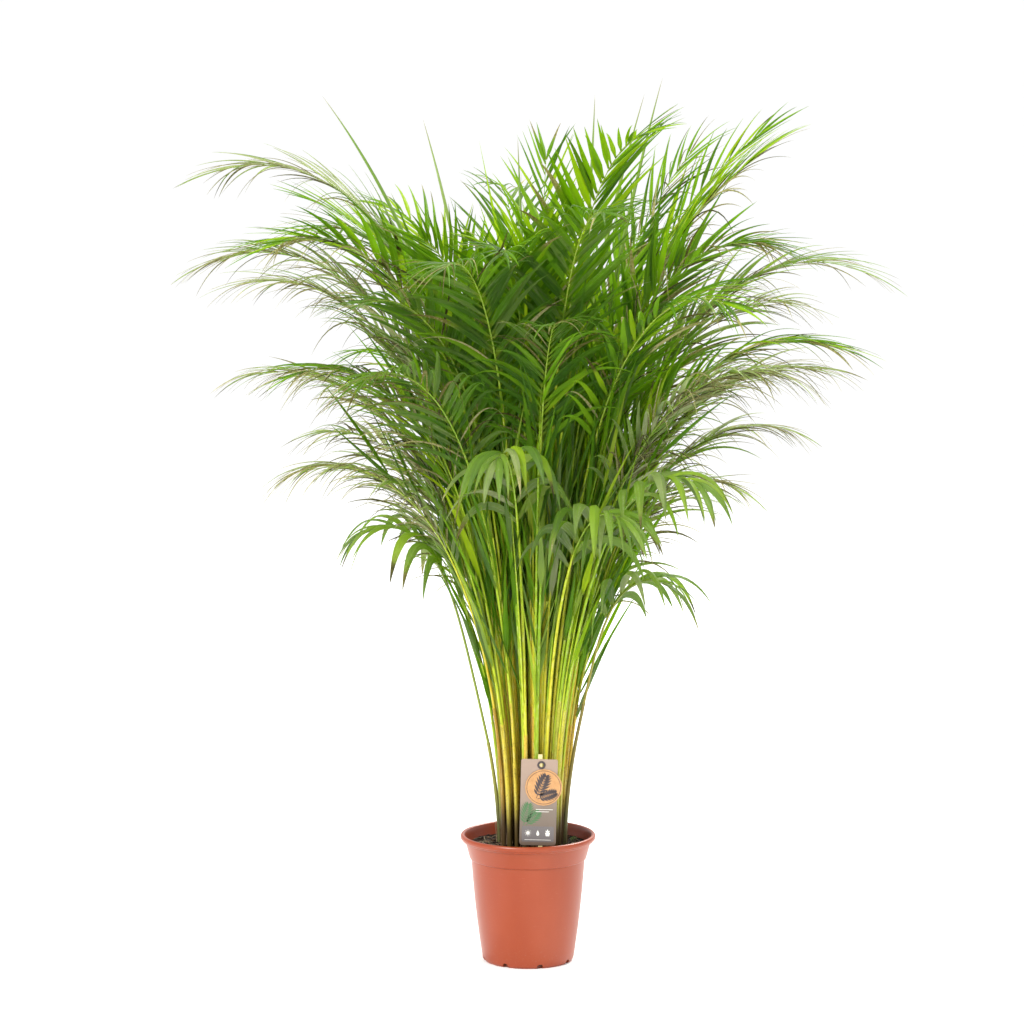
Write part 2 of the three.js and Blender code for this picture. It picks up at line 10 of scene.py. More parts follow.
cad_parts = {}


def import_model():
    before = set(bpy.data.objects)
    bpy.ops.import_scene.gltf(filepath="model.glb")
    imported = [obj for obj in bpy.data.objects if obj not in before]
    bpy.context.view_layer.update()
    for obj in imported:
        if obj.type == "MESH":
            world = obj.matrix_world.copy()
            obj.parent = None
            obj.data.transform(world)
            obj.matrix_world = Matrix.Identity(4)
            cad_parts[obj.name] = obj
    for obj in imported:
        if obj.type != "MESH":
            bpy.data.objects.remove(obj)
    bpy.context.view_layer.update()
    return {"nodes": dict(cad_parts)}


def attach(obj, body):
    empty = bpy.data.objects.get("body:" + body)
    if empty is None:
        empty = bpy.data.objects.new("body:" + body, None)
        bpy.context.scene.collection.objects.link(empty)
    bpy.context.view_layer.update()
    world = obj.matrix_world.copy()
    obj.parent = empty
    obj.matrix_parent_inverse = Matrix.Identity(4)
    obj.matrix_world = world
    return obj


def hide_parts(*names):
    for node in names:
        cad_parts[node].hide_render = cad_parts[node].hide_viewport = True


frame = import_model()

# The plant is worked out in millimetres, like the solids, and built in metres.
MM = 0.001
UP = np.array([0.0, 0.0, 1.0])
TURN = 2 * pi


def add_object(name, data):
    """Makes an object and puts it in the scene."""
    made = bpy.data.objects.new(name, data)
    bpy.context.scene.collection.objects.link(made)
    return made


# ---------------- camera

CAMERA_PLACE = (-0.0249, -6.0, 1.496)
CAMERA_PITCH = 7.55  # degrees down
CAMERA_LENS = 138.8

camera_data = bpy.data.cameras.new("camera")
camera_data.lens = CAMERA_LENS
camera_data.sensor_width = 36.0
camera_data.clip_end = 2000.0
camera = add_object("camera", camera_data)
camera.location = CAMERA_PLACE
camera.rotation_euler = (radians(90 - CAMERA_PITCH), 0, 0)
bpy.context.scene.camera = camera


# ---------------- small helpers

def lerp(a, b, t):
    return a + (b - a) * t


def smooth(t):
    t = np.clip(t, 0.0, 1.0)
    return t * t * (3 - 2 * t)


def unit(v):
    return v / np.linalg.norm(v, axis=-1, keepdims=True)


def dot(a, b):
    return (a * b).sum(-1, keepdims=True)


def polar(radius, angle, x=0.0, y=0.0):
    """The point at that distance and angle from x, y."""
    return x + radius * cos(angle), y + radius * sin(angle)


def ring_numbers(rings, around, first=0):
    """The numbers of the points on closed rings, and of their neighbours one step on."""
    n = np.arange(first, first + rings * around).reshape(rings, around)
    return n, np.roll(n, -1, axis=1)


def quads(*corners):
    return [tuple(q) for q in np.stack(corners, -1).reshape(-1, 4)]


def draw(stem, purpose):
    """A number from 0 to 1 that depends only on the stem and on what it is for."""
    value = sin(stem * 12.9898 + purpose * 78.233) * 43758.5453
    return value - math.floor(value)


def spread(stem, purpose):
    return 2 * draw(stem, purpose) - 1


def finish_piece(obj, slot, *nodes):
    """Everything rides on the part's one body."""
    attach(obj, "root")
    if nodes:
        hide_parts(*nodes)
    return obj


class Shell:
    """Points, faces and a few numbers per point, gathered into one mesh."""

    def __init__(self, *names):
        self.names = names
        self.points, self.faces, self.materials, self.lines = [], [], [], []
        self.values = {name: [] for name in names}
        self.count = 0

    def add(self, points, faces, material=0, lines=None, **values):
        """lines numbers the points that lie on a sharp line; 0 is none."""
        points = np.asarray(points, float).reshape(-1, 3)
        self.points.append(points)
        self.faces += [tuple(int(n) + self.count for n in face) for face in faces]
        self.materials += [material] * len(faces)
        self.lines.append(
            np.zeros(len(points), int) if lines is None else np.asarray(lines).reshape(-1)
        )
        for name in self.names:
            value = np.broadcast_to(np.asarray(values.get(name, 0.0), float), (len(points),))
            self.values[name].append(value)
        self.count += len(points)

    def tube(self, rings, tip=None, **how):
        """rings is (rings, points round, 3), anticlockwise seen from the last ring."""
        count, around = rings.shape[:2]
        n, right = ring_numbers(count, around)
        faces = quads(n[:-1], right[:-1], right[1:], n[1:])
        faces.append(tuple(n[0][::-1]))
        points = rings.reshape(-1, 3)
        if tip is None:
            faces.append(tuple(n[-1]))
        else:
            end = count * around
            faces += [(a, b, end) for a, b in zip(n[-1], right[-1])]
            points = np.vstack([points, tip])
        self.add(points, faces, **how)

    def build(self, name, *materials, flat=False):
        mesh = bpy.data.meshes.new(name)
        mesh.from_pydata(np.vstack(self.points) * MM, [], self.faces)
        for material in materials:
            mesh.materials.append(material)
        mesh.polygons.foreach_set("material_index", np.array(self.materials, np.int32))
        mesh.polygons.foreach_set("use_smooth", np.full(len(self.faces), not flat))
        for value in self.names:
            attribute = mesh.attributes.new(value, "FLOAT", "POINT")
            numbers = np.concatenate(self.values[value]).astype(np.float32)
            attribute.data.foreach_set("value", numbers)
        lines = np.concatenate(self.lines)
        if lines.any():
            ends = np.zeros(2 * len(mesh.edges), np.int32)
            mesh.edges.foreach_get("vertices", ends)
            ends = lines[ends.reshape(-1, 2)]
            sharp = mesh.attributes.new("sharp_edge", "BOOLEAN", "EDGE")
            sharp.data.foreach_set("value", (ends[:, 0] == ends[:, 1]) & (ends[:, 0] > 0))
        mesh.update()
        return add_object(name, mesh)


# ---------------- materials

class Nodes:
    """A short way to write a node tree; colour is what the layers so far give."""

    def __init__(self, name):
        self.material = bpy.data.materials.new(name)
        self.material.use_nodes = True
        self.tree = self.material.node_tree
        self.shader = self.tree.nodes["Principled BSDF"]
        self.output = self.tree.nodes["Material Output"]
        self.colour = None

    def put(self, socket, value):
        if isinstance(value, bpy.types.NodeSocket):
            self.tree.links.new(value, socket)
        elif value is not None:
            socket.default_value = (*value, 1.0) if socket.type == "RGBA" else value

    def node(self, kind, inputs=(), output=0, **settings):
        made = self.tree.nodes.new(kind)
        for key, value in settings.items():
            setattr(made, key, value)
        pairs = inputs.items() if isinstance(inputs, dict) else enumerate(inputs)
        for key, value in pairs:
            self.put(made.inputs[key], value)
        return made.outputs[output]

    def math(self, operation, *values):
        return self.node("ShaderNodeMath", values, operation=operation)

    def plus(self, a, b):
        return self.math("ADD", a, b)

    def times(self, a, b):
        return self.math("MULTIPLY", a, b)

    def scaled(self, value, factor, plus):
        return self.math("MULTIPLY_ADD", value, factor, plus)

    def numbers(self, *names):
        """Values that the mesh carries at its points."""
        kind = dict(output="Fac", attribute_type="GEOMETRY")
        return [self.node("ShaderNodeAttribute", attribute_name=name, **kind) for name in names]

    def place(self, scale=(1, 1, 1)):
        """The point on the object in metres, stretched."""
        at = self.node("ShaderNodeTexCoord", output="Object")
        return self.node("ShaderNodeMapping", {"Vector": at, "Scale": scale})

    def height(self):
        return self.node("ShaderNodeSeparateXYZ", [self.place()], output=2)

    def noise(self, vector, scale, detail=3.0, roughness=0.55):
        return self.node(
            "ShaderNodeTexNoise",
            {"Vector": vector, "Scale": scale, "Detail": detail, "Roughness": roughness},
        )

    def grain(self, scale, detail=2.0, roughness=0.55):
        """Noise with its own number of cells to the metre along x, y and z."""
        return self.noise(self.place(scale), 1.0, detail, roughness)

    def step(self, value, low, high, bottom=0.0, top=1.0):
        return self.node(
            "ShaderNodeMapRange",
            {"Value": value, "From Min": low, "From Max": high, "To Min": bottom, "To Max": top},
            interpolation_type="SMOOTHSTEP",
        )

    def mix(self, factor, a, b):
        return self.node("ShaderNodeMix", {0: factor, 6: a, 7: b}, output=2, data_type="RGBA")

    def over(self, factor, layer):
        self.colour = self.mix(factor, self.colour, layer)

    def ramp(self, value, *stops):
        made = self.tree.nodes.new("ShaderNodeValToRGB")
        ramp = made.color_ramp
        while len(ramp.elements) < len(stops):
            ramp.elements.new(0.5)
        for element, (where, colour) in zip(ramp.elements, stops):
            element.position, element.color = where, (*colour, 1.0)
        self.put(made.inputs[0], value)
        return made.outputs[0]

    def bump(self, height, strength, distance):
        inputs = {"Height": height, "Strength": strength, "Distance": distance}
        self.put(self.shader.inputs["Normal"], self.node("ShaderNodeBump", inputs))

    def surface(self, roughness, specular=None):
        self.put(self.shader.inputs["Base Color"], self.colour)
        self.put(self.shader.inputs["Roughness"], roughness)
        self.put(self.shader.inputs["Specular IOR Level"], specular)


# the blades' colours from young to withered, and where they stand on the ramp
GREEN_STOPS = (0.0, 0.22, 0.45, 0.7, 0.85, 1.0)
FRESH = (
    (0.42, 0.55, 0.012), (0.2, 0.38, 0.008), (0.074, 0.198, 0.007),
    (0.02, 0.078, 0.006), (0.034, 0.098, 0.01), (0.12, 0.19, 0.045),
)
AGED = (
    (0.4, 0.5, 0.03), (0.29, 0.39, 0.05), (0.18, 0.265, 0.056),
    (0.092, 0.155, 0.048), (0.205, 0.24, 0.11), (0.44, 0.435, 0.27),
)


def leaf_material(name, greens, specular, wear_and_sheen_strength):
    """Blades: tone differs leaflet by leaflet, veins run along them, and tips dry out."""
    m = Nodes(name)
    along, across, tone, age, dry = m.numbers("along", "across", "tone", "age", "dry")
    patches = m.noise(m.place(), 26.0)
    shade = m.plus(m.scaled(tone, 0.7, age), m.scaled(patches, 0.3, -0.38))
    m.colour = m.ramp(shade, *zip(GREEN_STOPS, greens))
    lengthwise = m.node(
        "ShaderNodeCombineXYZ", [m.times(across, 2.2), m.times(along, 1.6), m.times(tone, 90.0)]
    )
    streaks = m.noise(lengthwise, 2.0, 3.0, 0.6)
    vein = m.math("SINE", m.times(across, 34.0))
    m.over(m.scaled(vein, 0.06, 0.06), (0.2, 0.38, 0.04))
    rib = m.step(m.math("ABSOLUTE", across), 0.1, 0.02)
    m.over(m.times(rib, 0.5), (0.26, 0.42, 0.05))
    m.over(m.step(along, 0.1, 0.0), (0.3, 0.4, 0.03))
    # dry past a ragged line across the blade, and yellow a little before it
    flecks = m.noise(m.place((60, 60, 60)), 5.0, 2.0)
    where = m.plus(along, m.scaled(flecks, 0.16, -0.08))
    past = m.math("SUBTRACT", where, m.math("SUBTRACT", 1.02, dry))
    dryness = m.step(past, 0.0, 0.12)
    straw = m.ramp(
        m.scaled(flecks, 0.5, m.times(tone, 0.5)),
        (0.25, (0.066, 0.062, 0.011)),
        (0.5, (0.255, 0.235, 0.058)),
        (0.75, (0.61, 0.575, 0.28)),
    )
    m.over(m.times(m.step(past, -0.1, 0.02), 0.45), (0.27, 0.3, 0.03))
    m.over(dryness, straw)
    # Pale streaks on the older blades: partly wear, partly painted sheen.
    wear_and_sheen = m.times(m.step(streaks, 0.5, 0.62), m.step(age, 0.25, 0.75, 0.0, wear_and_sheen_strength))
    m.over(wear_and_sheen, m.ramp(flecks, (0.35, (0.235, 0.238, 0.085)), (0.65, (0.595, 0.595, 0.35))))
    gloss = m.step(age, 0.45, 0.9, 0.42, 0.33)
    m.surface(m.scaled(dryness, 0.25, gloss), specular)
    m.bump(m.scaled(rib, 1.2, vein), 0.35, 0.0004)
    through = m.mix(m.scaled(dryness, -0.55, 0.6), m.colour, (0.62, 0.9, 0.035))
    glow = m.node("ShaderNodeBsdfTranslucent", {"Color": through})
    m.put(m.output.inputs[0], m.node("ShaderNodeMixShader", [0.5, m.shader.outputs[0], glow]))
    return m.material


def stalk_material(name, dull=0.0):
    """Stalks: stained foot, golden speckled sheath, then green, and pale along the leaflets."""
    m = Nodes(name)
    height, tone, sheath, leafy = m.numbers("height", "tone", "sheath", "leafy")
    ribs = m.grain((520, 520, 9), 3.0)
    clouds = m.grain((40, 40, 6))
    tint = m.plus(m.scaled(tone, 0.95, -0.12), m.times(clouds, 0.3))
    sheath_colour = m.ramp(
        tint,
        (0.0, (0.3, 0.17, 0.02)),
        (0.22, (0.54, 0.33, 0.035)),
        (0.5, (0.6, 0.45, 0.048)),
        (0.75, (0.47, 0.45, 0.042)),
        (1.0, (0.29, 0.33, 0.036)),
    )
    petiole = m.ramp(
        tint,
        (0.0, (0.56, 0.36, 0.02)),
        (0.25, (0.62, 0.53, 0.036)),
        (0.5, (0.47, 0.53, 0.028)),
        (0.75, (0.36, 0.48, 0.018)),
        (1.0, (0.24, 0.37, 0.016)),
    )
    upper = m.ramp(
        tint, (0.0, (0.5, 0.56, 0.022)), (0.5, (0.3, 0.46, 0.014)), (1.0, (0.15, 0.33, 0.012))
    )
    petiole = m.mix(m.step(height, 0.3, 0.75), petiole, upper)
    m.colour = m.mix(sheath, petiole, sheath_colour)
    m.over(leafy, m.ramp(tint, (0.0, (0.36, 0.5, 0.05)), (1.0, (0.12, 0.32, 0.02))))
    specks = m.grain((900, 900, 380), 2.0, 0.6)
    specked = m.times(m.step(specks, 0.56, 0.66), m.scaled(sheath, 0.65, 0.12))
    m.over(specked, (0.13, 0.075, 0.022))
    m.over(m.step(ribs, 0.47, 0.32, 0.0, 0.62), (0.14, 0.12, 0.016))
    # Pale lengthwise streaks: partly the stalk's own striation, partly painted highlight.
    m.over(m.step(ribs, 0.54, 0.7, 0.0, 0.6), (0.58, 0.56, 0.24))
    stained = m.plus(height, m.scaled(clouds, 0.09, -0.045))
    m.over(m.step(stained, 0.28, 0.212, 0.0, 0.95), (0.048, 0.028, 0.012))
    if dull:
        m.over(dull, (0.15, 0.165, 0.065))
    m.surface(m.scaled(ribs, 0.2, 0.34), 0.2)
    m.bump(m.plus(ribs, m.times(specks, 0.4)), 0.5, 0.0006)
    return m.material


def spear_material():
    """Closed leaves: painted shade in the grooves between the pleats, and drier towards the point."""
    m = Nodes("palm_spear")
    along, pleat, tone = m.numbers("along", "across", "tone")
    fine = m.grain((400, 400, 14), 3.0)
    m.colour = m.ramp(
        m.scaled(tone, 0.4, m.times(fine, 0.5)),
        (0.1, (0.26, 0.36, 0.045)),
        (0.8, (0.12, 0.25, 0.025)),
    )
    # Painted shade: darker down in the grooves between the pleats.
    m.over(m.step(pleat, 0.2, 0.9, 0.0, 0.5), (0.07, 0.17, 0.02))
    m.over(m.step(along, 0.8, 1.0, 0.0, 0.8), (0.3, 0.27, 0.12))
    m.surface(m.scaled(fine, 0.2, 0.35))
    m.bump(fine, 0.4, 0.0005)
    return m.material


def pot_material():
    """Thin moulded plastic: even colour, satin, with faint flow streaks and scuffs, and soil dirt with
    painted shade on the inside wall above the soil.
    """
    m = Nodes("pot_plastic")
    clouds = m.grain((9, 9, 5), 4.0)
    m.colour = m.ramp(
        clouds,
        (0.3, (0.266, 0.0385, 0.0085)),
        (0.5, (0.292, 0.0445, 0.0095)),
        (0.7, (0.32, 0.054, 0.014)),
    )
    scuffs = m.grain((60, 60, 900), 4.0, 0.7)
    m.over(m.times(m.step(scuffs, 0.62, 0.74), 0.22), (0.6, 0.22, 0.13))
    dust = m.grain((330, 330, 330), 3.0, 0.7)
    height = m.height()
    low = m.step(height, 0.045, 0.0)
    dusty = m.times(m.step(dust, 0.58, 0.7), m.scaled(low, 0.45, 0.05))
    m.over(dusty, (0.3, 0.14, 0.085))
    # Inside, from the soil up to under the rim: darker, partly soil dirt, partly painted shade.
    below_rim = m.step(m.plus(height, m.times(dust, 0.02)), 0.203, 0.19)
    dirt_and_shade_inside = m.times(*m.numbers("inside"), below_rim)
    m.over(m.times(dirt_and_shade_inside, 0.75), (0.1, 0.045, 0.025))
    m.surface(m.scaled(clouds, 0.22, m.scaled(dusty, 0.25, 0.26)), 0.38)
    m.shader.inputs["Coat Weight"].default_value = 0.15
    m.shader.inputs["Coat Roughness"].default_value = 0.3
    fine = m.noise(m.place(), 1400.0, 2.0)
    m.bump(m.plus(m.times(fine, 0.5), m.times(clouds, 3.0)), 0.12, 0.0006)
    return m.material


def soil_material():
    m = Nodes("potting_soil")
    grains = m.noise(m.place(), 420.0, 5.0, 0.7)
    clods = m.noise(m.place(), 70.0)
    m.colour = m.ramp(
        m.scaled(grains, 0.6, m.times(clods, 0.4)),
        (0.35, (0.002, 0.0014, 0.001)),
        (0.52, (0.009, 0.005, 0.003)),
        (0.68, (0.034, 0.019, 0.01)),
    )
    m.surface(m.scaled(clods, 0.2, 0.78), 0.12)
    m.bump(m.plus(grains, clods), 0.9, 0.002)
    return m.material


def speckled(name, grain, stops, roughness, shares=None, specular=None, bump=None):
    """One ramp over a fine grain; shares adds each lump's own tone, as (grain's, tone's)."""
    m = Nodes(name)
    speck = m.grain(*grain)
    value = m.scaled(speck, shares[0], m.times(*m.numbers("tone"), shares[1])) if shares else speck
    m.colour = m.ramp(value, *stops)
    m.surface(roughness, specular)
    if bump:
        m.bump(speck, *bump)
    return m.material


BARK = (
    (0.1, (0.003, 0.002, 0.001)),
    (0.5, (0.014, 0.007, 0.004)),
    (0.8, (0.044, 0.02, 0.009)),
    (1.0, (0.19, 0.105, 0.052)),
)
FIBRE = ((0.1, (0.03, 0.016, 0.008)), (0.6, (0.12, 0.07, 0.032)), (1.0, (0.45, 0.36, 0.22)))
MOSS = ((0.0, (0.03, 0.065, 0.012)), (1.0, (0.17, 0.24, 0.045)))
STAKE = ((0.3, (0.6, 0.47, 0.2)), (0.6, (0.78, 0.66, 0.34)), (0.8, (0.86, 0.76, 0.46)))


def ink(name, colour, roughness=0.5, mottle=0.12):
    dark = tuple(c * (1 - mottle) for c in colour)
    light = tuple(min(1.0, c * (1 + mottle)) for c in colour)
    return speckled(name, ((900, 900, 900),), ((0.35, dark), (0.65, light)), roughness)


def card_material():
    """Coated card: a warm grey print, darker towards the foot."""
    m = Nodes("label_card_print")
    clouds = m.grain((30, 30, 18))
    level = m.scaled(clouds, 0.02, m.height())
    m.colour = m.ramp(
        m.step(level, 0.205, 0.34),
        (0.0, (0.106, 0.068, 0.045)),
        (0.35, (0.145, 0.108, 0.08)),
        (0.55, (0.25, 0.18, 0.136)),
        (1.0, (0.31, 0.215, 0.16)),
    )
    grain = m.grain((1600, 1600, 1600))
    m.over(m.times(grain, 0.12), (0.6, 0.56, 0.5))
    m.surface(m.scaled(clouds, 0.15, 0.3))
    m.bump(grain, 0.08, 0.0003)
    return m.material


def kraft_material():
    m = Nodes("kraft_card")
    pulp = m.grain((1300, 1300, 420), 4.0, 0.7)
    m.colour = m.ramp(
        m.scaled(pulp, 0.6, m.times(m.grain((90, 90, 90)), 0.4)),
        (0.3, (0.39, 0.195, 0.075)),
        (0.55, (0.52, 0.28, 0.115)),
        (0.8, (0.62, 0.37, 0.175)),
    )
    m.surface(0.75)
    m.bump(pulp, 0.25, 0.0004)
    return m.material


# ---------------- stems and their midlines

GOLDEN_ANGLE = 137.508
STEMS = 53
BUNDLE_RADIUS = 53.0
AXIS_X = 8.0
SOIL_HEIGHT = 181.0
SUNK = 22.0
STEPS = 120
LEAN_SETS_IN = 350.0

STOREYS = np.array([
    # rank, lean, bend, power, length
    [0.00, 1.5, 22, 3.0, 1100],
    [0.12, 5.0, 60, 4.5, 1190],
    [0.25, 7.5, 90, 5.0, 1215],
    [0.45, 9.6, 88, 4.4, 1100],
    [0.65, 10.8, 88, 3.9, 955],
    [0.85, 12.0, 93, 3.6, 790],
    [1.00, 14.5, 90, 4.8, 600],
])

# stem: lean, bend, power, length, sway
SPEARS = {
    0: (4.5, 12, 2.0, 1195, 0),
    1: (8.5, 14, 2.5, 1165, -10),
    3: (12.0, 18, 2.5, 1225, 135),
    4: (7.0, 30, 2.5, 1235, 0),
    5: (8.2, 8, 2.5, 1225, 10),
    6: (2.0, 6, 2.5, 1115, 0),
}
# stem: lean, bend, power, length
PLACED = {
    17: (7.4, 97, 4.8, 1265),
    9: (7.0, 62, 4.0, 1100),
    14: (7.5, 75, 4.5, 1120),
    12: (8.4, 98, 4.6, 1165),
    25: (9.4, 98, 4.4, 1150),
    30: (10.0, 90, 4.2, 1070),
    38: (10.2, 88, 3.8, 925),
    46: (11.0, 94, 3.6, 795),
    51: (12.5, 95, 8.0, 585),
    8: (7.5, 50, 3.4, 1205),
    13: (6.5, 47, 3.4, 1165),
    16: (6.0, 42, 3.4, 1140),
    21: (10.4, 100, 4.0, 1150),
    26: (11.0, 92, 3.7, 1020),
    34: (11.0, 85, 3.7, 940),
    42: (11.6, 90, 3.6, 830),
    50: (14.5, 100, 3.8, 740),
    47: (12.0, 105, 8.0, 510),
    11: (5.5, 42, 4.0, 1120),
    2: (4.0, 40, 4.0, 1010),
    7: (6.0, 60, 4.0, 1060),
    36: (9.0, 70, 4.0, 980),
    49: (9.5, 95, 4.5, 800),
    44: (10.5, 95, 4.5, 690),
    15: (8.0, 90, 5.0, 1120),
    18: (9.4, 93, 4.8, 1150),
    20: (9.0, 90, 4.6, 1050),
    33: (10.6, 92, 3.9, 965),
}
# the two thin stems that stand apart, and where along them their leaflets begin
OUTLIERS = {47: 0.77, 51: 0.79}
SPARSE = (44, 47, 49, 51, 52)  # low fronds in front, with few, wide, drooping leaflets
FACING = 11  # the tall frond that faces the front
AGED_FROM, AGED_FRONT = 0.22, 0.95  # rank from which fronds are old: at the sides, at front and back
WISPY_FROM = 0.2  # rank from which fronds that lean to the sides carry dried strands
FRONT_BARE = 0.2  # the share by which the front fronds stay bare for longer
FRONT_TALLER = 230.0  # the front fronds of the skirt stand this much taller


class Stem:
    """Stem number i: 0 stands in the heart, and they follow one another outwards."""

    def __init__(self, i):
        self.i = i
        self.rank = rank = i / (STEMS - 1)
        radius = BUNDLE_RADIUS * math.sqrt((i + 0.5) / STEMS)
        seat = radians(i * GOLDEN_ANGLE)
        self.root = np.array([*polar(radius, seat, AXIS_X), SOIL_HEIGHT - SUNK])
        self.azimuth = seat + radians(4 * spread(i, 1))
        self.roll = radians(16 * spread(i, 5))
        self.sway = 22 * spread(i, 6)
        self.spear = i in SPEARS
        storey = (np.interp(rank, STOREYS[:, 0], column) for column in STOREYS[:, 1:].T)
        lean, bend, power, length = storey
        lean += 0.5 * spread(i, 2)
        bend += 7 * spread(i, 3)
        length *= 1 + 0.03 * spread(i, 4)
        facing = max(0.0, -sin(self.azimuth))
        length += FRONT_TALLER * facing * rank
        if self.spear:
            lean, bend, power, length, self.sway = SPEARS[i]
        elif i in PLACED:
            lean, bend, power, length = PLACED[i]
        sets_in = 200.0 if i in OUTLIERS else LEAN_SETS_IN
        if i == FACING:
            self.azimuth += radians(10)
            self.roll = 0.0
        self.length = length
        frontal = abs(sin(self.azimuth))
        self.aged = i not in SPARSE and rank > lerp(AGED_FROM, AGED_FRONT, frontal)
        self.wispy = i not in SPARSE and rank > WISPY_FROM and frontal < 0.75
        if self.spear:
            self.leaf_start = 0.7
        elif i in OUTLIERS:
            self.leaf_start = OUTLIERS[i]
        else:
            self.leaf_start = lerp(0.62, 0.44, min(1, length / 1200)) + FRONT_BARE * facing
        out = np.array([cos(self.azimuth), sin(self.azimuth), 0])
        self.level = np.array([-sin(self.azimuth), cos(self.azimuth), 0])
        share = (np.arange(STEPS) + 0.5) / STEPS
        tilt = np.radians(lean * np.minimum(1, share * length / sets_in) + bend * share**power)
        step = length / STEPS
        away = np.append(0, np.cumsum(step * np.sin(tilt)))[:, None]
        rise = np.append(0, np.cumsum(step * np.cos(tilt)))[:, None]
        drift = self.sway * (np.arange(STEPS + 1) / STEPS)[:, None] ** 3
        self.midline = self.root + away * out + rise * UP + drift * self.level
        self.heading = unit(np.gradient(self.midline, axis=0))
        self.size = min(1.0, max(0.0, (length - 550) / 550))  # 0 short, 1 long

    def frames(self, u):
        """Place, along, side and top at each share u of the stem."""
        x = np.clip(np.asarray(u, float), 0, 1) * STEPS
        place, along = (
            np.stack([np.interp(x, range(STEPS + 1), values) for values in line.T], -1)
            for line in (self.midline, self.heading)
        )
        along = unit(along)
        level = unit(self.level - dot(self.level, along) * along)
        side = cos(self.roll) * level + sin(self.roll) * np.cross(along, level)
        return place, along, side, np.cross(along, side)

    def radius(self, u):
        v = (u - self.leaf_start) / (1 - self.leaf_start)
        bare = lerp(4.4, 2.7, u / self.leaf_start)
        leafy = 3.1 * np.sin(pi * (0.28 + 0.7 * v)) if self.spear else lerp(2.7, 0.9, v)
        return np.where(u < self.leaf_start, bare, leafy)


def rings_round(place, side, top, radius, around, squeeze=1.0):
    """Rings of points about each place; squeeze flattens them from above."""
    angle = TURN * np.arange(around) / around
    radius = np.asarray(radius, float).reshape(len(place), -1)
    across = (np.cos(angle) * radius)[..., None] * side[:, None]
    upward = (np.sin(angle) * radius * squeeze)[..., None] * top[:, None]
    return place[:, None] + across + upward


# ---------------- stalks

STALK_SIDES = 8
STALK_SHARE = 0.72  # of the solid's corner radius
RACHIS_SHARE = 0.72  # of the stalk's radius, where it carries leaflets


def add_stalk(shell, stem, rng, until, share=STALK_SHARE, taper=0.0):
    """The stalk and rachis, with the sheath that wraps its lower part and ends in a lip."""
    sheath = (SUNK + rng.uniform(90, 250)) / stem.length
    bare = np.linspace(0, min(stem.leaf_start, until), 22)
    lip = sheath + np.array([-4, -0.6, 0, 1.2, 6]) / stem.length
    leafy = np.linspace(stem.leaf_start, until, 34)[1:] if until > stem.leaf_start else []
    u = np.unique(np.concatenate([bare[np.abs(bare - sheath) > 8 / stem.length], lip, leafy]))
    place, _, side, top = stem.frames(u)
    radius = stem.radius(u) * share
    if taper:
        radius = radius * lerp(1.0, 0.3, smooth((u - until + taper) / taper))
    swell = np.where(u < sheath, 1.1 + 0.1 * smooth((sheath - u) * stem.length / 160), 0.9)
    swell = np.where(np.abs(u - sheath) < 0.8 / stem.length, 1.22, swell)
    swell = np.where(u > sheath, lerp(swell, 1.0, smooth((u - sheath) * 2.5)), swell)
    leafiness = smooth((u - stem.leaf_start) * stem.length / 60)
    radius = radius * lerp(1.0, RACHIS_SHARE, leafiness)
    sheathed = smooth((sheath - u) * stem.length / 3 + 0.5)
    shell.tube(
        rings_round(place, side, top, radius * swell, STALK_SIDES, 0.94),
        material=1,
        tone=draw(stem.i, 7),
        height=np.repeat(place[:, 2] * MM, STALK_SIDES),
        sheath=np.repeat(sheathed, STALK_SIDES),
        leafy=np.repeat(leafiness, STALK_SIDES),
    )


# ---------------- leaflets

LEAFLET = dict(
    pairs=27, fewest=16, length=200.0, width=(16.5, 11.0), sweep=(45.0, 21.0), rise=(14.0, 3.0),
    droop=(0.2, 1.4), forward=0.25,
)
LEAFLET_STEPS = 13
REACH = 0.98  # a leaflet's length against the solid's
# the sparse fronds' share of the pairs, their degrees up, and their factors on droop and width
SPARSE_PAIRS, SPARSE_RISE, SPARSE_DROOP, SPARSE_WIDTH = 0.4, 16, 2.8, 1.9
STRANDS = 50
DRIED = 1.12  # a leaflet with this much of it dry is dry down to its foot
VALUES = ("along", "across", "tone", "age", "dry", "height", "sheath", "leafy")


def leaflet_length(stem, v):
    rising = 0.7 + 0.3 * np.sin(pi * (0.1 + 0.75 * v))
    return LEAFLET["length"] * lerp(0.8, 1.0, stem.size) * rising * (1 - 0.35 * v**3)


def blade_width(s, strap):
    """How wide a leaflet is along its length: narrow foot, widest early, whip-like tip."""
    foot = 0.36 + 0.64 * smooth(s / 0.26)
    widest = 0.55 if strap else 0.24
    taper = (1 - np.clip((s - widest) / (1 - widest), 0, 1)) ** 0.92
    return foot * taper


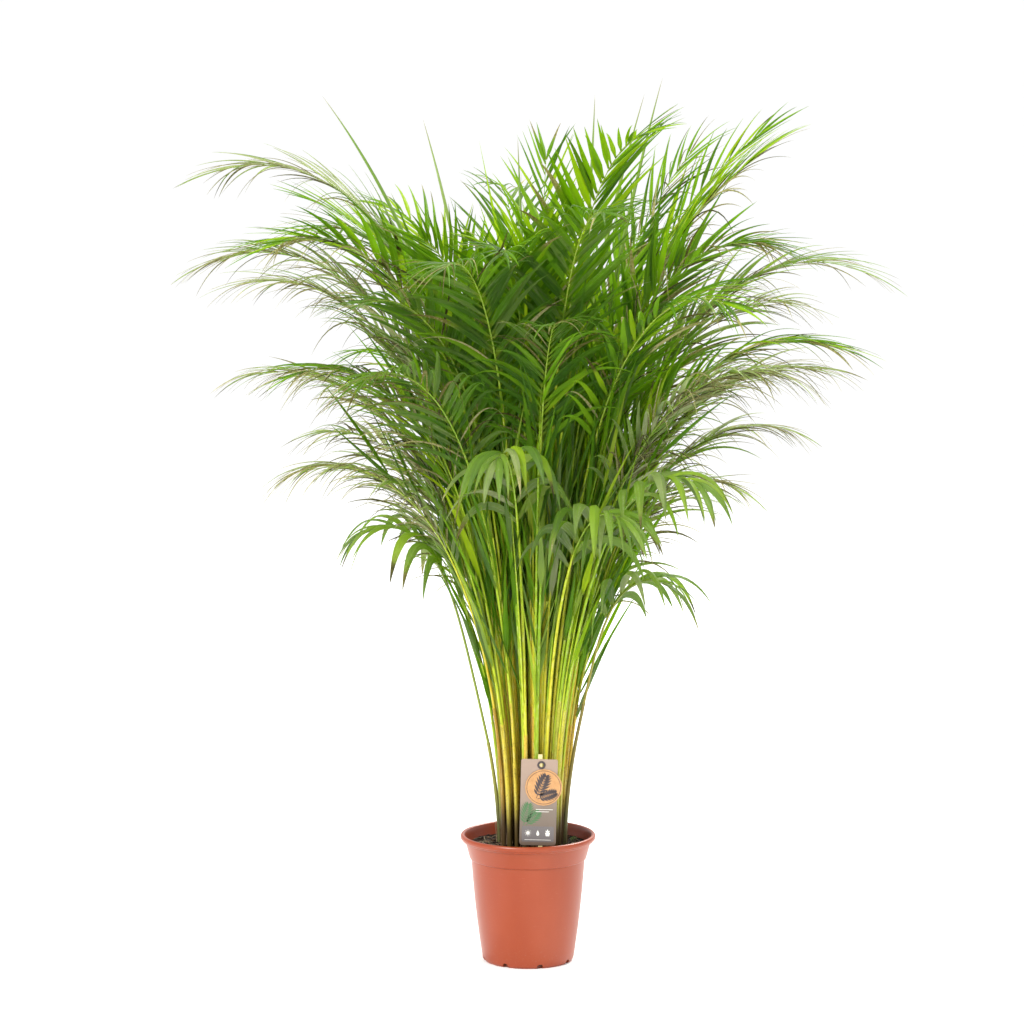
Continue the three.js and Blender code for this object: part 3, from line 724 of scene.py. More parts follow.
def add_blades(
    shell, root, away, along, hand, length, width, droop, curl, twist, tone, age, dry, fold,
    late=1.5, strap=False,
):
    """Grows leaflets side by side; every argument has one row for each."""
    count, steps = len(root), LEAFLET_STEPS
    s = (np.arange(steps) + 0.5) / steps
    heading = unit(
        away[:, None]
        + (curl[:, None] * s)[..., None] * along[:, None]
        - (droop[:, None] * s**late)[..., None] * UP
    )
    line = root[:, None] + np.concatenate(
        [np.zeros((count, 1, 3)), np.cumsum(heading * (length / steps)[:, None, None], 1)], 1
    )
    direction = np.concatenate([heading[:, :1], unit(heading[:, :-1] + heading[:, 1:])], 1)
    across = np.zeros_like(direction)
    across[:, 0] = unit(along - dot(along, direction[:, 0]) * direction[:, 0])
    for k in range(1, steps):
        last, way = across[:, k - 1], direction[:, k]
        across[:, k] = unit(last - dot(last, way) * way)
    station = np.arange(steps) / steps
    crest = hand[:, None, None] * np.cross(across, direction)
    angle = twist[:, None] * station**1.2
    c, t = np.cos(angle)[..., None], np.sin(angle)[..., None]
    across, crest = c * across + t * crest, c * crest - t * across
    w = width[:, None] * blade_width(station, strap)
    ridge = w * lerp(0.44, fold[:, None], smooth(station / 0.35))
    thick = 0.62 * (1 - 0.45 * station)
    # round the blade: edge, flank, crest, flank, edge and the keel below the crest
    x = hand[:, None] * np.array([-0.5, -0.26, 0.0, 0.26, 0.5, 0.0])
    edge, flank = 0 * ridge, 0.52 * ridge + 0.03 * w + 0.15 * thick
    lift = np.stack([edge, flank, ridge + 0.4 * thick, flank, edge, ridge - 0.6 * thick], -1)
    rings = (
        line[:, :-1, None]
        + (w[..., None] * x[:, None])[..., None] * across[:, :, None]
        + lift[..., None] * crest[:, :, None]
    )
    lengthwise = np.append(np.repeat(station, 6), 1.0)
    sharp = np.append(np.tile([1, 0, 3, 0, 2, 0], steps), 0)  # both edges and the crest
    for n in range(count):
        crosswise = np.append(np.tile(2 * x[n], steps), 0.0)
        shell.tube(
            rings[n], line[n, -1], lines=sharp, along=lengthwise, across=crosswise,
            tone=tone[n], age=age[n], dry=dry[n],
        )


def add_strands(shell, stem, rng):
    """Leaflets dried to thin strands, which hang from the outer fronds."""
    vary = partial(rng.uniform, size=STRANDS)
    v = vary(0.06, 0.97)
    hand = np.where(rng.random(STRANDS) < 0.5, 1.0, -1.0)
    place, along, side, _ = stem.frames(lerp(stem.leaf_start, 1.0, v))
    sweep = np.radians(vary(12, 40))
    away = along * np.cos(sweep)[:, None] + side * (hand * np.sin(sweep))[:, None]
    add_blades(
        shell, place, away, along, hand,
        length=leaflet_length(stem, v) * vary(0.55, 0.95),
        width=vary(2.6, 5.4), droop=vary(0.3, 2.2),
        curl=vary(-0.1, 0.4), twist=np.radians(rng.normal(0, 60, STRANDS)),
        tone=rng.random(STRANDS), age=np.full(STRANDS, 0.9),
        dry=np.where(rng.random(STRANDS) < 0.65, DRIED, 0.4), fold=vary(0.1, 0.4),
    )


def finish_plant(shell, kind, stem, leaf, stalk):
    """The piece takes the place of the solid with its number."""
    number = f"{stem.i + 1:02d}"
    piece = shell.build(f"palm_{kind}_{number}", leaf, stalk)
    return finish_piece(piece, kind, f"{kind}_{number}")


def frond(stem, leaf, stalk):
    """A feather leaf: the stalk, its pairs of leaflets and two more at the tip."""
    rng = np.random.default_rng(4100 + stem.i)
    shell = Shell(*VALUES)
    add_stalk(shell, stem, rng, 1.0)
    sparse = stem.i in SPARSE
    pairs = lerp(LEAFLET["fewest"], LEAFLET["pairs"], stem.size)
    pairs = round(pairs * (SPARSE_PAIRS if sparse else 1))
    v = np.repeat(np.arange(pairs) / (pairs - 0.4), 2)
    hand = np.tile([1.0, -1.0], pairs)
    v = np.clip(v + (0.012 * hand + rng.uniform(-0.012, 0.012, len(v))), 0.0, 0.985)
    v, hand = np.append(v, [1.0, 1.0]), np.append(hand, [1.0, -1.0])
    count = len(v)
    vary = partial(rng.uniform, size=count)
    u = lerp(stem.leaf_start, 1.0, v)
    place, along, side, top = stem.frames(u)
    radius = stem.radius(u) * STALK_SHARE
    last = v > 0.99
    sweep = lerp(*LEAFLET["sweep"], v) + vary(-4, 4)
    sweep = np.radians(np.where(last, 13.0, sweep))
    rise = lerp(*LEAFLET["rise"], stem.rank) + vary(-9, 9)
    rise = np.radians(rise + (SPARSE_RISE if sparse else 0))
    h = hand[:, None]
    away = (
        along * np.cos(sweep)[:, None]
        + side * h * (np.sin(sweep) * np.cos(rise))[:, None]
        + top * (np.sin(sweep) * np.sin(rise))[:, None]
    )
    root = place + side * h * (0.35 * radius)[:, None] + top * (0.25 * radius)[:, None]
    droop = lerp(*LEAFLET["droop"], stem.rank)
    droop = droop * lerp(1.0, 0.8, smooth((v - 0.62) / 0.3)) * vary(0.7, 1.3)
    if sparse:
        droop = droop * SPARSE_DROOP
    length = leaflet_length(stem, v) * REACH * vary(0.93, 1.0)
    length = np.where(last, vary(88, 100), length)
    width = lerp(*LEAFLET["width"], min(1.0, stem.rank / 0.5))
    width = width * (0.72 + 0.28 * np.sin(pi * np.clip(0.12 + v, 0, 1)))
    width = width * vary(0.74, 1.12) * lerp(1.0, 0.62, smooth((v - 0.45) / 0.5))
    width = np.where(last, 7.0, width) * lerp(0.86, 1.0, stem.size)
    width = width * (SPARSE_WIDTH if sparse else 1)
    old = min(1.0, stem.rank * 1.15) * (1.0 if stem.aged else 0.6)
    tip = 0.0 if sparse else old * smooth((v - 0.15) / 0.7)
    usual = 0.41 if sparse else 0.08 + 0.6 * old + 0.26 * spread(stem.i, 8) + 0.35 * tip
    age = np.clip(usual + vary(-0.12, 0.12), 0, 1)
    withered = rng.random(count) < 0.1 + 0.5 * old
    dry = vary(0.12, 0.34 if sparse else 0.62)
    dry = np.where(withered, dry, vary(0, 0.06))
    dead = (rng.random(count) < 0.42 * (old - 0.2) + 0.28 * tip) & (not sparse)
    dry = np.where(dead, DRIED, dry)
    width, droop = np.where(dead, 0.42 * width, width), np.where(dead, 1.5 * droop, droop)
    add_blades(
        shell, root, away, along, hand, length, width, droop,
        curl=LEAFLET["forward"] * vary(0.3, 1.7),
        twist=np.radians(rng.normal(0, 26, count)),
        tone=rng.random(count), age=age, dry=dry, fold=vary(0.1, 0.32),
        late=1.7 if sparse else 1.5, strap=sparse,
    )
    if stem.wispy:
        add_strands(shell, stem, rng)
    return finish_plant(shell, "frond", stem, leaf, stalk)


SPEAR_SIDES = 20
SPEAR_PLEATS = 5
SPEAR_TWIST = 1.6  # radians from foot to tip


def spear(stem, leaf, stalk):
    """An unopened leaf: a pleated, slightly twisted rod that ends in a fine point."""
    rng = np.random.default_rng(4100 + stem.i)
    shell = Shell("along", "across", "tone", "height", "sheath", "leafy")
    add_stalk(shell, stem, rng, stem.leaf_start + 0.004)
    v = np.linspace(0, 1, 27)[:-1]
    u = lerp(stem.leaf_start, 1.0, v)
    place, _, side, top = stem.frames(u)
    angle = TURN * np.arange(SPEAR_SIDES) / SPEAR_SIDES
    pleat = np.cos(SPEAR_PLEATS * (angle + SPEAR_TWIST * v[:, None]))
    radius = stem.radius(u)[:, None] * (0.86 + 0.13 * pleat * smooth(v[:, None] / 0.1))
    depth = 0.5 - 0.5 * pleat
    shell.tube(
        rings_round(place, side, top, radius, SPEAR_SIDES), stem.frames([1.0])[0][0],
        along=np.append(np.repeat(v, SPEAR_SIDES), 1.0),
        across=np.append(depth.reshape(-1), 0.5),
        tone=draw(stem.i, 7),
    )
    return finish_plant(shell, "spear", stem, leaf, stalk)


# set of young stems: place between two stems, seed, reach, thickness, blades, age
# Reach is the share of a full stem's length, and all after it are lowest and highest.
SHOOTS = {
    "young_shoots": (0.5, 31, (0.5, 0.62), (0.55, 0.88), (7, 13), (0.0, 0.55)),
    "tall_shoots": (0.25, 32, (0.6, 0.8), (0.5, 0.75), (9, 14), (0.1, 0.6)),
    "slim_shoots": (0.75, 33, (0.48, 0.66), (0.42, 0.62), (2, 5), (0.1, 0.6)),
}


def shoots(name, leaf, stalk):
    """Young stems inside the bundle: thin stalks, each with a few narrow upright blades."""
    between, seed, reach, thickness, blades, ages = SHOOTS[name]
    rng = np.random.default_rng(seed)
    shell = Shell(*VALUES)
    for k in range(1, STEMS - 5):  # none at the very edge
        stem = Stem(k + between)
        until = rng.uniform(*reach)
        stem.leaf_start = until - 0.05
        add_stalk(shell, stem, rng, until, rng.uniform(*thickness), 0.2)
        count = rng.integers(*blades)
        vary = partial(rng.uniform, size=count)
        v = np.linspace(0.48, 0.99, count) * until
        place, along, side, top = stem.frames(v)
        hand = np.where(np.arange(count) % 2, 1.0, -1.0)
        sweep = np.radians(vary(7, 17))
        turn = vary(0, TURN)
        outward = side * np.cos(turn)[:, None] + top * np.sin(turn)[:, None]
        away = along * np.cos(sweep)[:, None] + outward * np.sin(sweep)[:, None]
        across = unit(np.cross(outward, along))
        add_blades(
            shell, place + outward * 1.2, away, across, hand,
            length=vary(120, 240), width=vary(5, 11.5),
            droop=vary(0.05, 0.35), curl=vary(-0.1, 0.1),
            twist=np.radians(rng.normal(0, 40, count)), tone=rng.random(count),
            age=np.full(count, rng.uniform(*ages)), dry=vary(0, 0.08),
            fold=vary(0.08, 0.2),
        )
    return finish_piece(shell.build(name, leaf, stalk), "frond")


# ---------------- pot

POT_SEGMENTS = 160
POT_FOOT = (71.5, 8)  # radius and height where the wall starts
POT_SHOULDER = (88.2, 160)  # radius and height where it ends, below the collar
POT_BELLY = 1.7  # how far the wall swells between them
POT_FLOOR = 5.0
POT_INNER = 17  # points of its outline, counted from the last, that lie inside
SLOTS = 8
SLOT_TURN = 15  # degrees
SLOT_HALF, SLOT_SPRING, SLOT_CROWN = 4.5, 4, 3  # half its width, and its straight and round height
SLOT_CUT = (64.0, 79.0)  # the radii that the cut runs between


def rounded(points, radius=1.3, steps=4):
    """Rounds the corners of an open line of points."""
    points = [np.array(p, float) for p in points]
    out = [points[0]]
    for before, corner, after in zip(points, points[1:], points[2:]):
        a, b = before - corner, after - corner
        reach = min(radius, 0.45 * np.linalg.norm(a), 0.45 * np.linalg.norm(b))
        start, end = corner + unit(a) * reach, corner + unit(b) * reach
        for t in np.linspace(0, 1, steps):
            out.append((1 - t) ** 2 * start + 2 * t * (1 - t) * corner + t * t * end)
    out.append(points[-1])
    return np.array(out)


def pot(material):
    """Turned from its outline: from the foot up the outside, over the rim and down inside."""
    (foot, low), (shoulder, high) = POT_FOOT, POT_SHOULDER
    underside = rounded(
        [(0, 0), (34, 0), (36, 2.2), (58, 2.2), (60, 0), (68, 0), (70.5, 3.5), POT_FOOT], 1.2
    )
    rise = np.linspace(0.0, 1.0, 13)[1:-1]
    belly = POT_BELLY * np.sin(pi * rise)
    wall = np.stack([lerp(foot, shoulder, rise) + belly, lerp(low, high, rise)], -1)
    collar = rounded([
        POT_SHOULDER, (90.6, 161.4), (97.4, 187), (101.6, 188.2), (102.2, 190.4), (104.3, 191.2),
        (105, 195), (103.6, 198.2), (101, 199), (98.4, 197.8), (96.9, 193), (95.6, 187),
        (88.8, 161.4), (86.4, 160), (80.4, 82), (69.35, POT_FLOOR), (0, POT_FLOOR),
    ])
    profile = np.vstack([underside, wall, collar])
    inside = (np.arange(len(profile)) > len(profile) - POT_INNER).astype(float)
    radius, height = profile[1:-1][::-1].T[:, :, None]
    angle = TURN * np.arange(POT_SEGMENTS) / POT_SEGMENTS
    points = np.broadcast_arrays(radius * np.cos(angle), radius * np.sin(angle), height)
    n, right = ring_numbers(len(radius), POT_SEGMENTS)
    faces = quads(n[:-1], n[1:], right[1:], right[:-1])
    faces += [(b, a, n.size) for a, b in zip(right[0], n[0])]
    faces += [(b, a, n.size + 1) for a, b in zip(n[-1], right[-1])]
    shell = Shell("inside")
    points = np.vstack([np.stack(points, -1).reshape(-1, 3), [[0, 0, POT_FLOOR], [0, 0, 0]]])
    values = np.append(np.repeat(inside[1:-1][::-1], POT_SEGMENTS), [1.0, 0.0])
    shell.add(points, faces, inside=values)
    body = shell.build("nursery_pot", material)
    cut_slots(body)
    return finish_piece(body, "pot", "pot")


def cut_slots(body):
    """Drain slots through the foot's corner, with rounded tops."""
    mesh = bmesh.new()
    arch = np.linspace(0.3, pi - 0.3, 7)
    outline = [(-SLOT_HALF, -7), (SLOT_HALF, -7), (SLOT_HALF, SLOT_SPRING)]
    outline += [(SLOT_HALF * cos(a), SLOT_SPRING + SLOT_CROWN * sin(a)) for a in arch]
    outline += [(-SLOT_HALF, SLOT_SPRING)]
    size = len(outline)
    for k in range(SLOTS):
        c, s = polar(1.0, k / SLOTS * TURN + radians(SLOT_TURN))
        inner, outer = (
            [mesh.verts.new(Vector((r * c - y * s, r * s + y * c, z)) * MM) for y, z in outline]
            for r in SLOT_CUT
        )
        mesh.faces.new(inner[::-1])
        mesh.faces.new(outer)
        for j in range(size):
            m = (j + 1) % size
            mesh.faces.new((inner[j], inner[m], outer[m], outer[j]))
    bmesh.ops.recalc_face_normals(mesh, faces=mesh.faces)
    cutter_mesh = bpy.data.meshes.new("slots")
    mesh.to_mesh(cutter_mesh)
    mesh.free()
    cutter = add_object("slots", cutter_mesh)
    modifier = body.modifiers.new("slots", "BOOLEAN")
    modifier.operation, modifier.object, modifier.solver = "DIFFERENCE", cutter, "EXACT"
    graph = bpy.context.evaluated_depsgraph_get()
    cut = bpy.data.meshes.new_from_object(body.evaluated_get(graph))
    body.modifiers.clear()
    body.data = cut
    bpy.data.objects.remove(cutter)
    cut.set_sharp_from_angle(angle=radians(35))


# ---------------- soil

SOIL_EDGE = 93.0  # radius of the soil at the pot's wall
SOIL_SEGMENTS, SOIL_ROWS = 144, 46
SOIL_SIDE = ((86.4, 161.0), (69.0, 5.4))  # radius and height where the fill's side bends and ends
CHIPS, LARGE_CHIP = 1500, 2.3
FIBRES = 120
TUFTS, TUFTS_IN_FRONT, TUFT_BLADES = 15, 11, 26


def soil_height(x, y):
    """The soil's surface in millimetres: heaped a little round the stems, and crumbly."""
    r = hypot(x, y)
    crown = 3.0 * (1 - smooth((r - 38) / 50))
    rough = noise.fractal(Vector((x, y, 3.0)) / 22, 1.0, 2.1, 5) * 2.2
    fine = noise.fractal(Vector((x, y, 9.0)) / 4.5, 1.0, 2.1, 3) * 0.8
    return SOIL_HEIGHT + crown + (rough + fine) * (1 - 0.5 * smooth((r - 80) / 12))


def soil(material):
    """The fill: its surface in rings, and a plain side and bottom inside the pot."""
    turns = TURN * np.arange(SOIL_SEGMENTS) / SOIL_SEGMENTS
    points = [(0.0, 0.0, soil_height(0, 0))]
    for k in range(1, SOIL_ROWS + 1):
        for turn in turns:
            x, y = polar(SOIL_EDGE * (k / SOIL_ROWS) ** 0.8, turn)
            points.append((x, y, soil_height(x, y)))
    for r, z in SOIL_SIDE:
        points += [(*polar(r, turn), z) for turn in turns]
    n, right = ring_numbers(SOIL_ROWS + len(SOIL_SIDE), SOIL_SEGMENTS, 1)
    faces = [(0, a, b) for a, b in zip(n[0], right[0])]
    faces += quads(n[:-1], n[1:], right[1:], right[:-1])
    faces.append(tuple(n[-1][::-1]))
    shell = Shell()
    shell.add(points, faces)
    return finish_piece(shell.build("potting_soil", material), "soil", "soil")


def on_soil(rng, clear):
    """Any place on the soil that keeps so far from the pot's wall, and 3 mm more."""
    r = math.sqrt(rng.uniform(0.0, (SOIL_EDGE - 3 - clear) ** 2))
    return polar(r, rng.uniform(0, TURN))


def chips(material):
    """Bark, peat lumps and grit, each a rough flattened lump."""
    rng = np.random.default_rng(21)
    shell = Shell("tone")
    blob = bmesh.new()
    bmesh.ops.create_icosphere(blob, subdivisions=1, radius=1.0)
    base = np.array([v.co for v in blob.verts])
    faces = [tuple(v.index for v in f.verts) for f in blob.faces]
    blob.free()
    for _ in range(CHIPS):
        x, y = on_soil(rng, 2)
        large = rng.random() >= 0.84
        size = rng.uniform(LARGE_CHIP, 4.6) if large else rng.uniform(0.7, LARGE_CHIP)
        shape = size * np.array([rng.uniform(0.9, 1.9), rng.uniform(0.5, 1.0), rng.uniform(0.25, 0.6)])
        turn, tilt = rng.uniform(0, TURN), rng.normal(0, 0.35)
        points = base * rng.uniform(0.72, 1.15, (len(base), 1)) * shape
        c, s = polar(1.0, tilt)
        points = points @ np.array([[c, 0, s], [0, 1, 0], [-s, 0, c]])
        c, s = polar(1.0, turn)
        points = points @ np.array([[c, s, 0], [-s, c, 0], [0, 0, 1]])
        if hypot(x, y) + np.abs(points[:, :2]).max() > SOIL_EDGE:
            continue
        points += [x, y, soil_height(x, y) + 0.25 * shape[2]]
        tone = rng.uniform(0.25, 1.0) if large else rng.beta(1.3, 2.6)
        shell.add(points, faces, tone=tone)
    return finish_piece(shell.build("bark_chips", material, flat=True), "soil")


def strand(shell, line, radius, tone, around=5):
    """A thin tapering strand along a line of points."""
    heading = unit(np.gradient(line, axis=0))
    side = unit(np.cross(heading, UP + 0.01))
    top = np.cross(heading, side)
    rings = rings_round(line[:-1], side[:-1], top[:-1], radius, around)
    shell.tube(rings[:, ::-1], line[-1], tone=tone)


def fibres(material):
    """Pale roots and coir fibres that lie on the soil, some of them standing off it."""
    rng = np.random.default_rng(22)
    shell = Shell("tone")
    for _ in range(FIBRES):
        x, y = on_soil(rng, 8)
        heading, turn = rng.uniform(0, TURN), rng.normal(0, 0.16)
        steps, length = 12, rng.uniform(10, 42)
        arch = rng.uniform(0.3, 3.0) if rng.random() < 0.75 else rng.uniform(3, 9)
        line = []
        for k in range(steps + 1):
            if hypot(x, y) > SOIL_EDGE - 2:
                break
            lift = arch * sin(pi * k / steps) + 0.4
            line.append((x, y, soil_height(x, y) + lift))
            heading += turn + rng.normal(0, 0.12)
            x += length / steps * cos(heading)
            y += length / steps * sin(heading)
        if len(line) > 5:
            taper = np.linspace(1, 0.45, len(line) - 1)[:, None] * rng.uniform(0.22, 0.62)
            strand(shell, np.array(line), taper, rng.random())
    return finish_piece(shell.build("root_fibres", material), "soil")


def moss(material):
    """Small tufts of moss, most of them near the front of the pot."""
    rng = np.random.default_rng(23)
    shell = Shell("tone")
    for centre in range(TUFTS):
        angle = rng.uniform(pi, TURN) if centre < TUFTS_IN_FRONT else rng.uniform(0, pi)
        cx, cy = polar(rng.uniform(60, 84), angle)
        for _ in range(TUFT_BLADES):
            x, y = cx + rng.normal(0, 3.4), cy + rng.normal(0, 3.4)
            if hypot(x, y) > SOIL_EDGE - 3:
                continue
            lean = rng.normal(0, 0.5, 2)
            tall = rng.uniform(1.5, 5.5)
            t = np.linspace(0, 1, 5)[:, None]
            line = np.array([x, y, soil_height(x, y) - 0.5]) + tall * (
                t * [0, 0, 1] + t**1.7 * [lean[0], lean[1], -0.1]
            )
            strand(shell, line, np.linspace(0.4, 0.22, 4)[:, None], rng.random(), 4)
    return finish_piece(shell.build("moss_tufts", material), "soil")


def scraps(material, stems):
    """Brown shreds of old sheath that cling round the stems' feet."""
    rng = np.random.default_rng(24)
    shell = Shell("tone")
    for stem in stems:
        for _ in range(rng.integers(3, 8)):
            tall = rng.uniform(8, 46)
            u = (SUNK - 2 + np.linspace(0, tall, 7)) / stem.length
            place, _, side, top = stem.frames(u)
            angle = rng.uniform(0, TURN)
            radial = cos(angle) * side + sin(angle) * top
            flare = np.linspace(0, 1, 7)[:, None] ** 2 * rng.uniform(0.2, 7.0)
            line = place + radial * (stem.radius(u)[:, None] * 1.02 + 0.3 + flare)
            thick = rng.uniform(0.5, 1.1) * (2.2 if rng.random() < 0.15 else 1.0)
            strand(shell, line, np.linspace(0.85, 0.3, 6)[:, None] * thick, rng.beta(1.5, 2.5))
    return finish_piece(shell.build("sheath_scraps", material), "frond")


# ---------------- care label

# in millimetres; x is right and y up from the card's lower middle
CARD = dict(width=56.0, height=134.0, x=14.0, y=-79.0, bottom=197.0, tilt=1.4, thick=0.9)
EYELET_X, EYELET_Y = 3, CARD["height"] - 9.0
BADGE_X, BADGE_Y = 7.3, CARD["height"] - 43.5
BADGE_OUT = 0.9 + 0.3  # the badge's thickness and the gap behind it
PRINT_OUT = 0.02  # how far the print lies in front of what it is on
PRINT_OVER = 0.14  # and print on print in front of that
SIGN_X, SIGN_Y = 15, 19  # the signs stand at -SIGN_X, 0 and SIGN_X


def on_card(x, y, out):
    """A place on the card: x right and y up from its lower middle, out towards the viewer."""
    c, s = polar(1.0, radians(CARD["tilt"]))
    return (CARD["x"] + x * c + y * s, CARD["y"] - out, CARD["bottom"] - x * s + y * c)


def inlay(name, outlines, out, thick, material, slot):
    """Flat printed shapes, each an outline in the card's plane, a hair thick."""
    shell = Shell()
    for outline in outlines:
        size = len(outline)
        points = [on_card(x, y, out + t) for t in (0, thick) for x, y in outline]
        faces = [tuple(range(size)), tuple(range(2 * size - 1, size - 1, -1))]
        faces += [(n, n + size, (n + 1) % size + size, (n + 1) % size) for n in range(size)]
        area = sum(a[0] * b[1] - b[0] * a[1] for a, b in zip(outline, outline[1:] + outline[:1]))
        if area > 0:
            faces = [face[::-1] for face in faces]
        shell.add(points, faces)
    return finish_piece(shell.build(name, material, flat=True), slot)


def disc(x, y, radius, steps=24):
    return [polar(radius, TURN * k / steps, x, y) for k in range(steps)]


def turned(points, x, y, angle):
    """Points measured along and across a line that leaves x, y at that angle."""
    c, s = polar(1.0, angle)
    return [(x + a * c - b * s, y + a * s + b * c) for a, b in points]


def leaf_shape(x, y, length, width, angle):
    """A pointed leaf from its foot at x, y."""
    half = [(length * t, width / 2 * sin(pi * t**0.8)) for t in np.linspace(0, 1, 9)]
    return turned(half + [(a, -b) for a, b in reversed(half[1:-1])], x, y, angle)


def feather(x, y, length, leaflet, width, degrees, pairs=8):
    """A feather leaf: a midrib from its foot at x, y with pairs of pointed leaflets."""
    angle = radians(degrees)
    out = [turned([(0, -0.5), (length, -0.15), (length, 0.15), (0, 0.5)], x, y, angle)]
    for k in range(pairs):
        share = k / (pairs - 1)
        t = lerp(0.16, 0.98, share)
        reach = leaflet * sin(pi * lerp(0.22, 0.85, share))
        for hand in (1, -1):
            foot = turned([(length * t, 0.3 * hand)], x, y, angle)[0]
            way = angle + hand * radians(lerp(58, 30, t))
            out.append(leaf_shape(*foot, reach, width, way))
    return out


def bar(x, y, width, height):
    """A rectangle about x, y."""
    x0, x1, y0, y1 = x - width / 2, x + width / 2, y - height / 2, y + height / 2
    return [(x0, y0), (x1, y0), (x1, y1), (x0, y1)]


def panel(x, y, width, height, radius):
    """A bar with rounded corners."""
    inner = bar(x, y, width - 2 * radius, height - 2 * radius)
    starts = (-180, -90, 0, 90)
    return [
        polar(radius, radians(start + k * 15), *corner)
        for corner, start in zip(inner[1:] + inner[:1], starts[1:] + starts[:1])
        for k in range(7)
    ]


def arc_band(x, y, inner, outer, end, steps=40):
    """A ring from 0 to end degrees, a little short of the full turn."""
    angles = [radians(end * k / steps) for k in range(steps + 1)]
    outside = [polar(outer, a, x, y) for a in angles]
    return outside + [polar(inner, a, x, y) for a in reversed(angles)]


def sun_sign(x, y):
    out = [disc(x, y, 2.6)]
    for a in (TURN * k / 8 for k in range(8)):
        ray = ((3.5, -0.09), (5.0, -0.07), (5.0, 0.07), (3.5, 0.09))
        out.append([polar(r, a + d, x, y) for r, d in ray])
    return out


def drop_sign(x, y):
    turns = np.linspace(0, TURN, 25)[:-1]
    return [[(x + 3.0 * sin(t) * sin(t / 2) ** 1.4, y + 4.3 * cos(t)) for t in turns]]


def plant_sign(x, y):
    """A pot with three leaves."""
    out = [[(x - 2.6, y - 4.4), (x + 2.6, y - 4.4), (x + 3.6, y + 1), (x - 3.6, y + 1)]]
    for length, width, degrees in ((5.2, 2.0, 90), (4.4, 1.7, 40), (4.4, 1.7, 140)):
        out.append(leaf_shape(x, y + 1.2, length, width, radians(degrees)))
    return out


def label():
    """The solids' finish, the eyelet's ring and a generic print."""
    dark = ink("print_dark", (0.055, 0.04, 0.04), 0.55)
    pale = ink("print_pale", (0.78, 0.76, 0.7), 0.45, 0.05)
    green = ink("print_green", (0.06, 0.15, 0.055), 0.45)
    grey = ink("print_grey", (0.135, 0.12, 0.118), 0.45)
    stake = speckled("stake_wood", ((700, 700, 12), 4.0, 0.6), STAKE, 0.6, bump=(0.4, 0.0005))
    finishes = {"label_card": card_material(), "label_badge": kraft_material(), "label_stake": stake}
    for name, made in finishes.items():
        node = frame["nodes"][name]
        node.data.materials.clear()
        node.data.materials.append(made)
    front = CARD["thick"] + PRINT_OUT
    over = front + PRINT_OVER
    ring = [arc_band(EYELET_X, EYELET_Y, 3.35, 6.4, 359.5)]
    inlay("eyelet_ring", ring, front, 0.5, dark, "label_card")
    # the card's lower half: a plain panel with two palm leaves, some rules and three care signs
    ground = [panel(0, 17.5, CARD["width"] - 7, 24, 2.0)]
    inlay("card_panel", ground, front, 0.12, grey, "label_card")
    sprig = feather(-22, 31, 32, 15, 2.6, 78) + feather(-18, 31, 27, 13, 2.4, 48)
    inlay("card_leaf", sprig, front, 0.14, green, "label_card")
    signs = sun_sign(-SIGN_X, SIGN_Y) + drop_sign(0, SIGN_Y + 0.4) + plant_sign(SIGN_X, SIGN_Y)
    inlay("card_signs", signs, over, 0.1, pale, "label_card")
    rules = [bar(9, 56, 26, 0.7), bar(6, 52.5, 20, 0.7), bar(0, 8.6, 40, 0.6)]
    inlay("card_rules", rules, over, 0.1, pale, "label_card")
    # the round badge: a rim line and two palm leaves
    motif = [arc_band(BADGE_X, BADGE_Y, 25.4, 26.1, 359.6, 80)]
    motif += feather(BADGE_X - 11, BADGE_Y - 17, 36, 17, 3.6, 68)
    motif += feather(BADGE_X - 9, BADGE_Y - 18, 28, 13, 3.2, 20)
    inlay("badge_print", motif, front + BADGE_OUT, 0.1, dark, "label_badge")


# ---------------- everything together

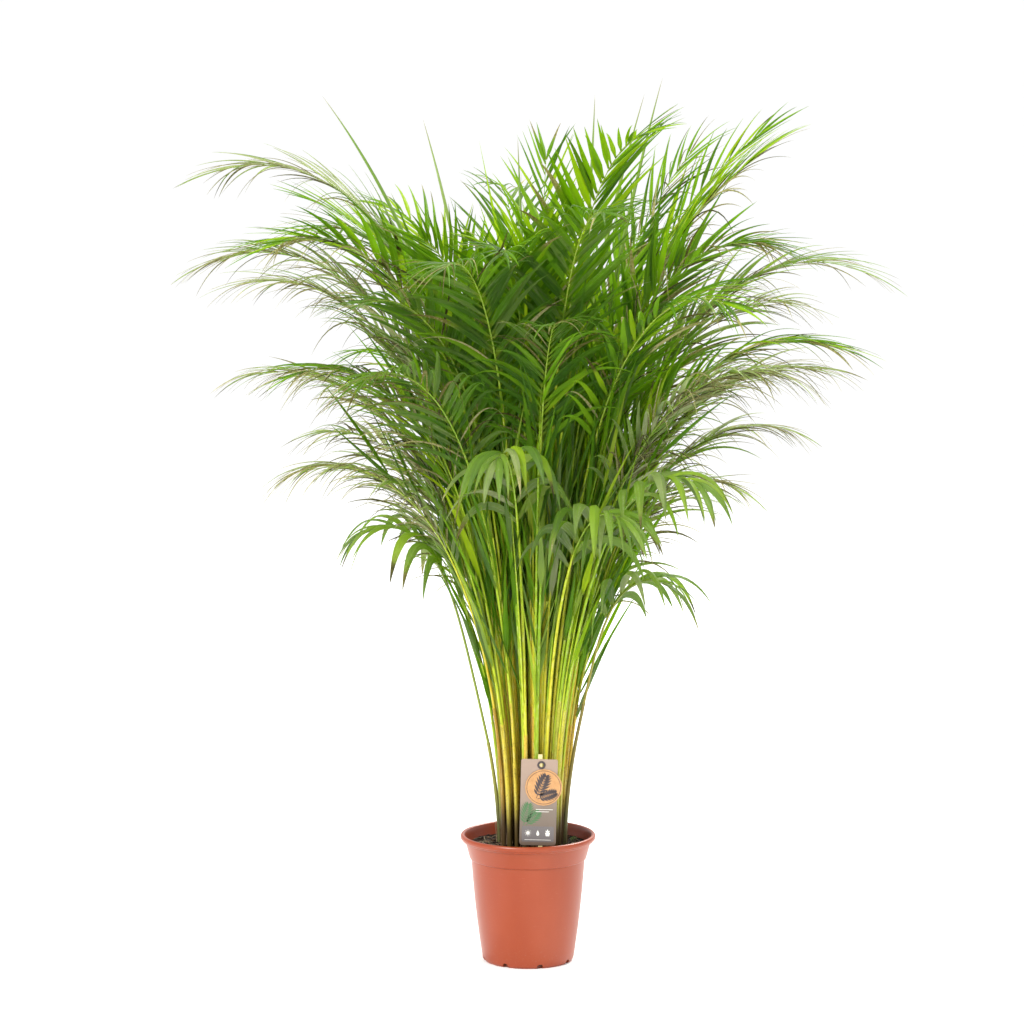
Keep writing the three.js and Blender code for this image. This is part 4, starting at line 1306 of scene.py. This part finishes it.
fresh_leaf = leaf_material("palm_leaf_fresh", FRESH, 0.12, 0.35)
aged_leaf = leaf_material("palm_leaf_aged", AGED, 0.35, 0.9)
stalk, thin_stalk = stalk_material("palm_stalk"), stalk_material("palm_stalk_thin", 0.6)
spear_leaf = spear_material()
stems = [Stem(i) for i in range(STEMS)]
for stem in stems:
    if stem.spear:
        spear(stem, spear_leaf, stalk)
    else:
        leaf = aged_leaf if stem.aged or stem.i in SPARSE else fresh_leaf
        frond(stem, leaf, thin_stalk if stem.i in OUTLIERS else stalk)
for name in SHOOTS:
    shoots(name, aged_leaf if name == "young_shoots" else fresh_leaf, stalk)
pot(pot_material())
soil(soil_material())
bark_grain = ((500, 500, 500), 4.0, 0.65)
chips(speckled("bark_and_peat", bark_grain, BARK, 0.85, (0.35, 0.75), 0.15, (0.8, 0.001)))
fibre = speckled("roots_and_fibres", ((700, 700, 700),), FIBRE, 0.7, (0.3, 0.8))
fibres(fibre)
scraps(fibre, stems)
moss(speckled("moss", ((500, 500, 500),), MOSS, 0.8, (0.3, 0.8)))
label()


# ---------------- floor and light

FLOOR_SIZE = 1200.0
WORLD_STRENGTH = 1.03


def floor():
    """A plain pale surface, wide enough to have no edge in view."""
    mesh = bpy.data.meshes.new("floor")
    corners = [(x, y, 0) for x, y in bar(0, 0, FLOOR_SIZE, FLOOR_SIZE)]
    mesh.from_pydata(corners, [], [(0, 1, 2, 3)])
    m = Nodes("floor_pale")
    m.colour = (0.98, 0.98, 0.98)
    m.surface(0.8)
    mesh.materials.append(m.material)
    add_object("floor", mesh)


def softbox(name, place, target, size, power, colour=(1, 1, 1)):
    data = bpy.data.lights.new(name, "AREA")
    data.shape, data.size, data.energy, data.color = "DISK", size, power, colour
    obj = add_object(name, data)
    obj.location = place
    obj.rotation_euler = (Vector(target) - Vector(place)).to_track_quat("-Z", "Y").to_euler()


def world():
    made = bpy.data.worlds.new("studio")
    made.use_nodes = True
    background = made.node_tree.nodes["Background"]
    background.inputs[0].default_value = (1.0, 1.0, 1.0, 1.0)
    background.inputs[1].default_value = WORLD_STRENGTH
    bpy.context.scene.world = made


floor()
world()
softbox("key", (-2.6, -3.4, 3.4), (0, 0, 0.7), 1.6, 230, (1.0, 0.985, 0.96))
softbox("fill", (3.2, -2.4, 2.2), (0, 0, 0.7), 2.6, 25, (0.96, 0.98, 1.0))
softbox("back", (1.6, 3.0, 3.6), (0, 0, 0.9), 1.6, 230, (1.0, 0.99, 0.95))
bpy.context.scene.view_settings.view_transform = "Standard"
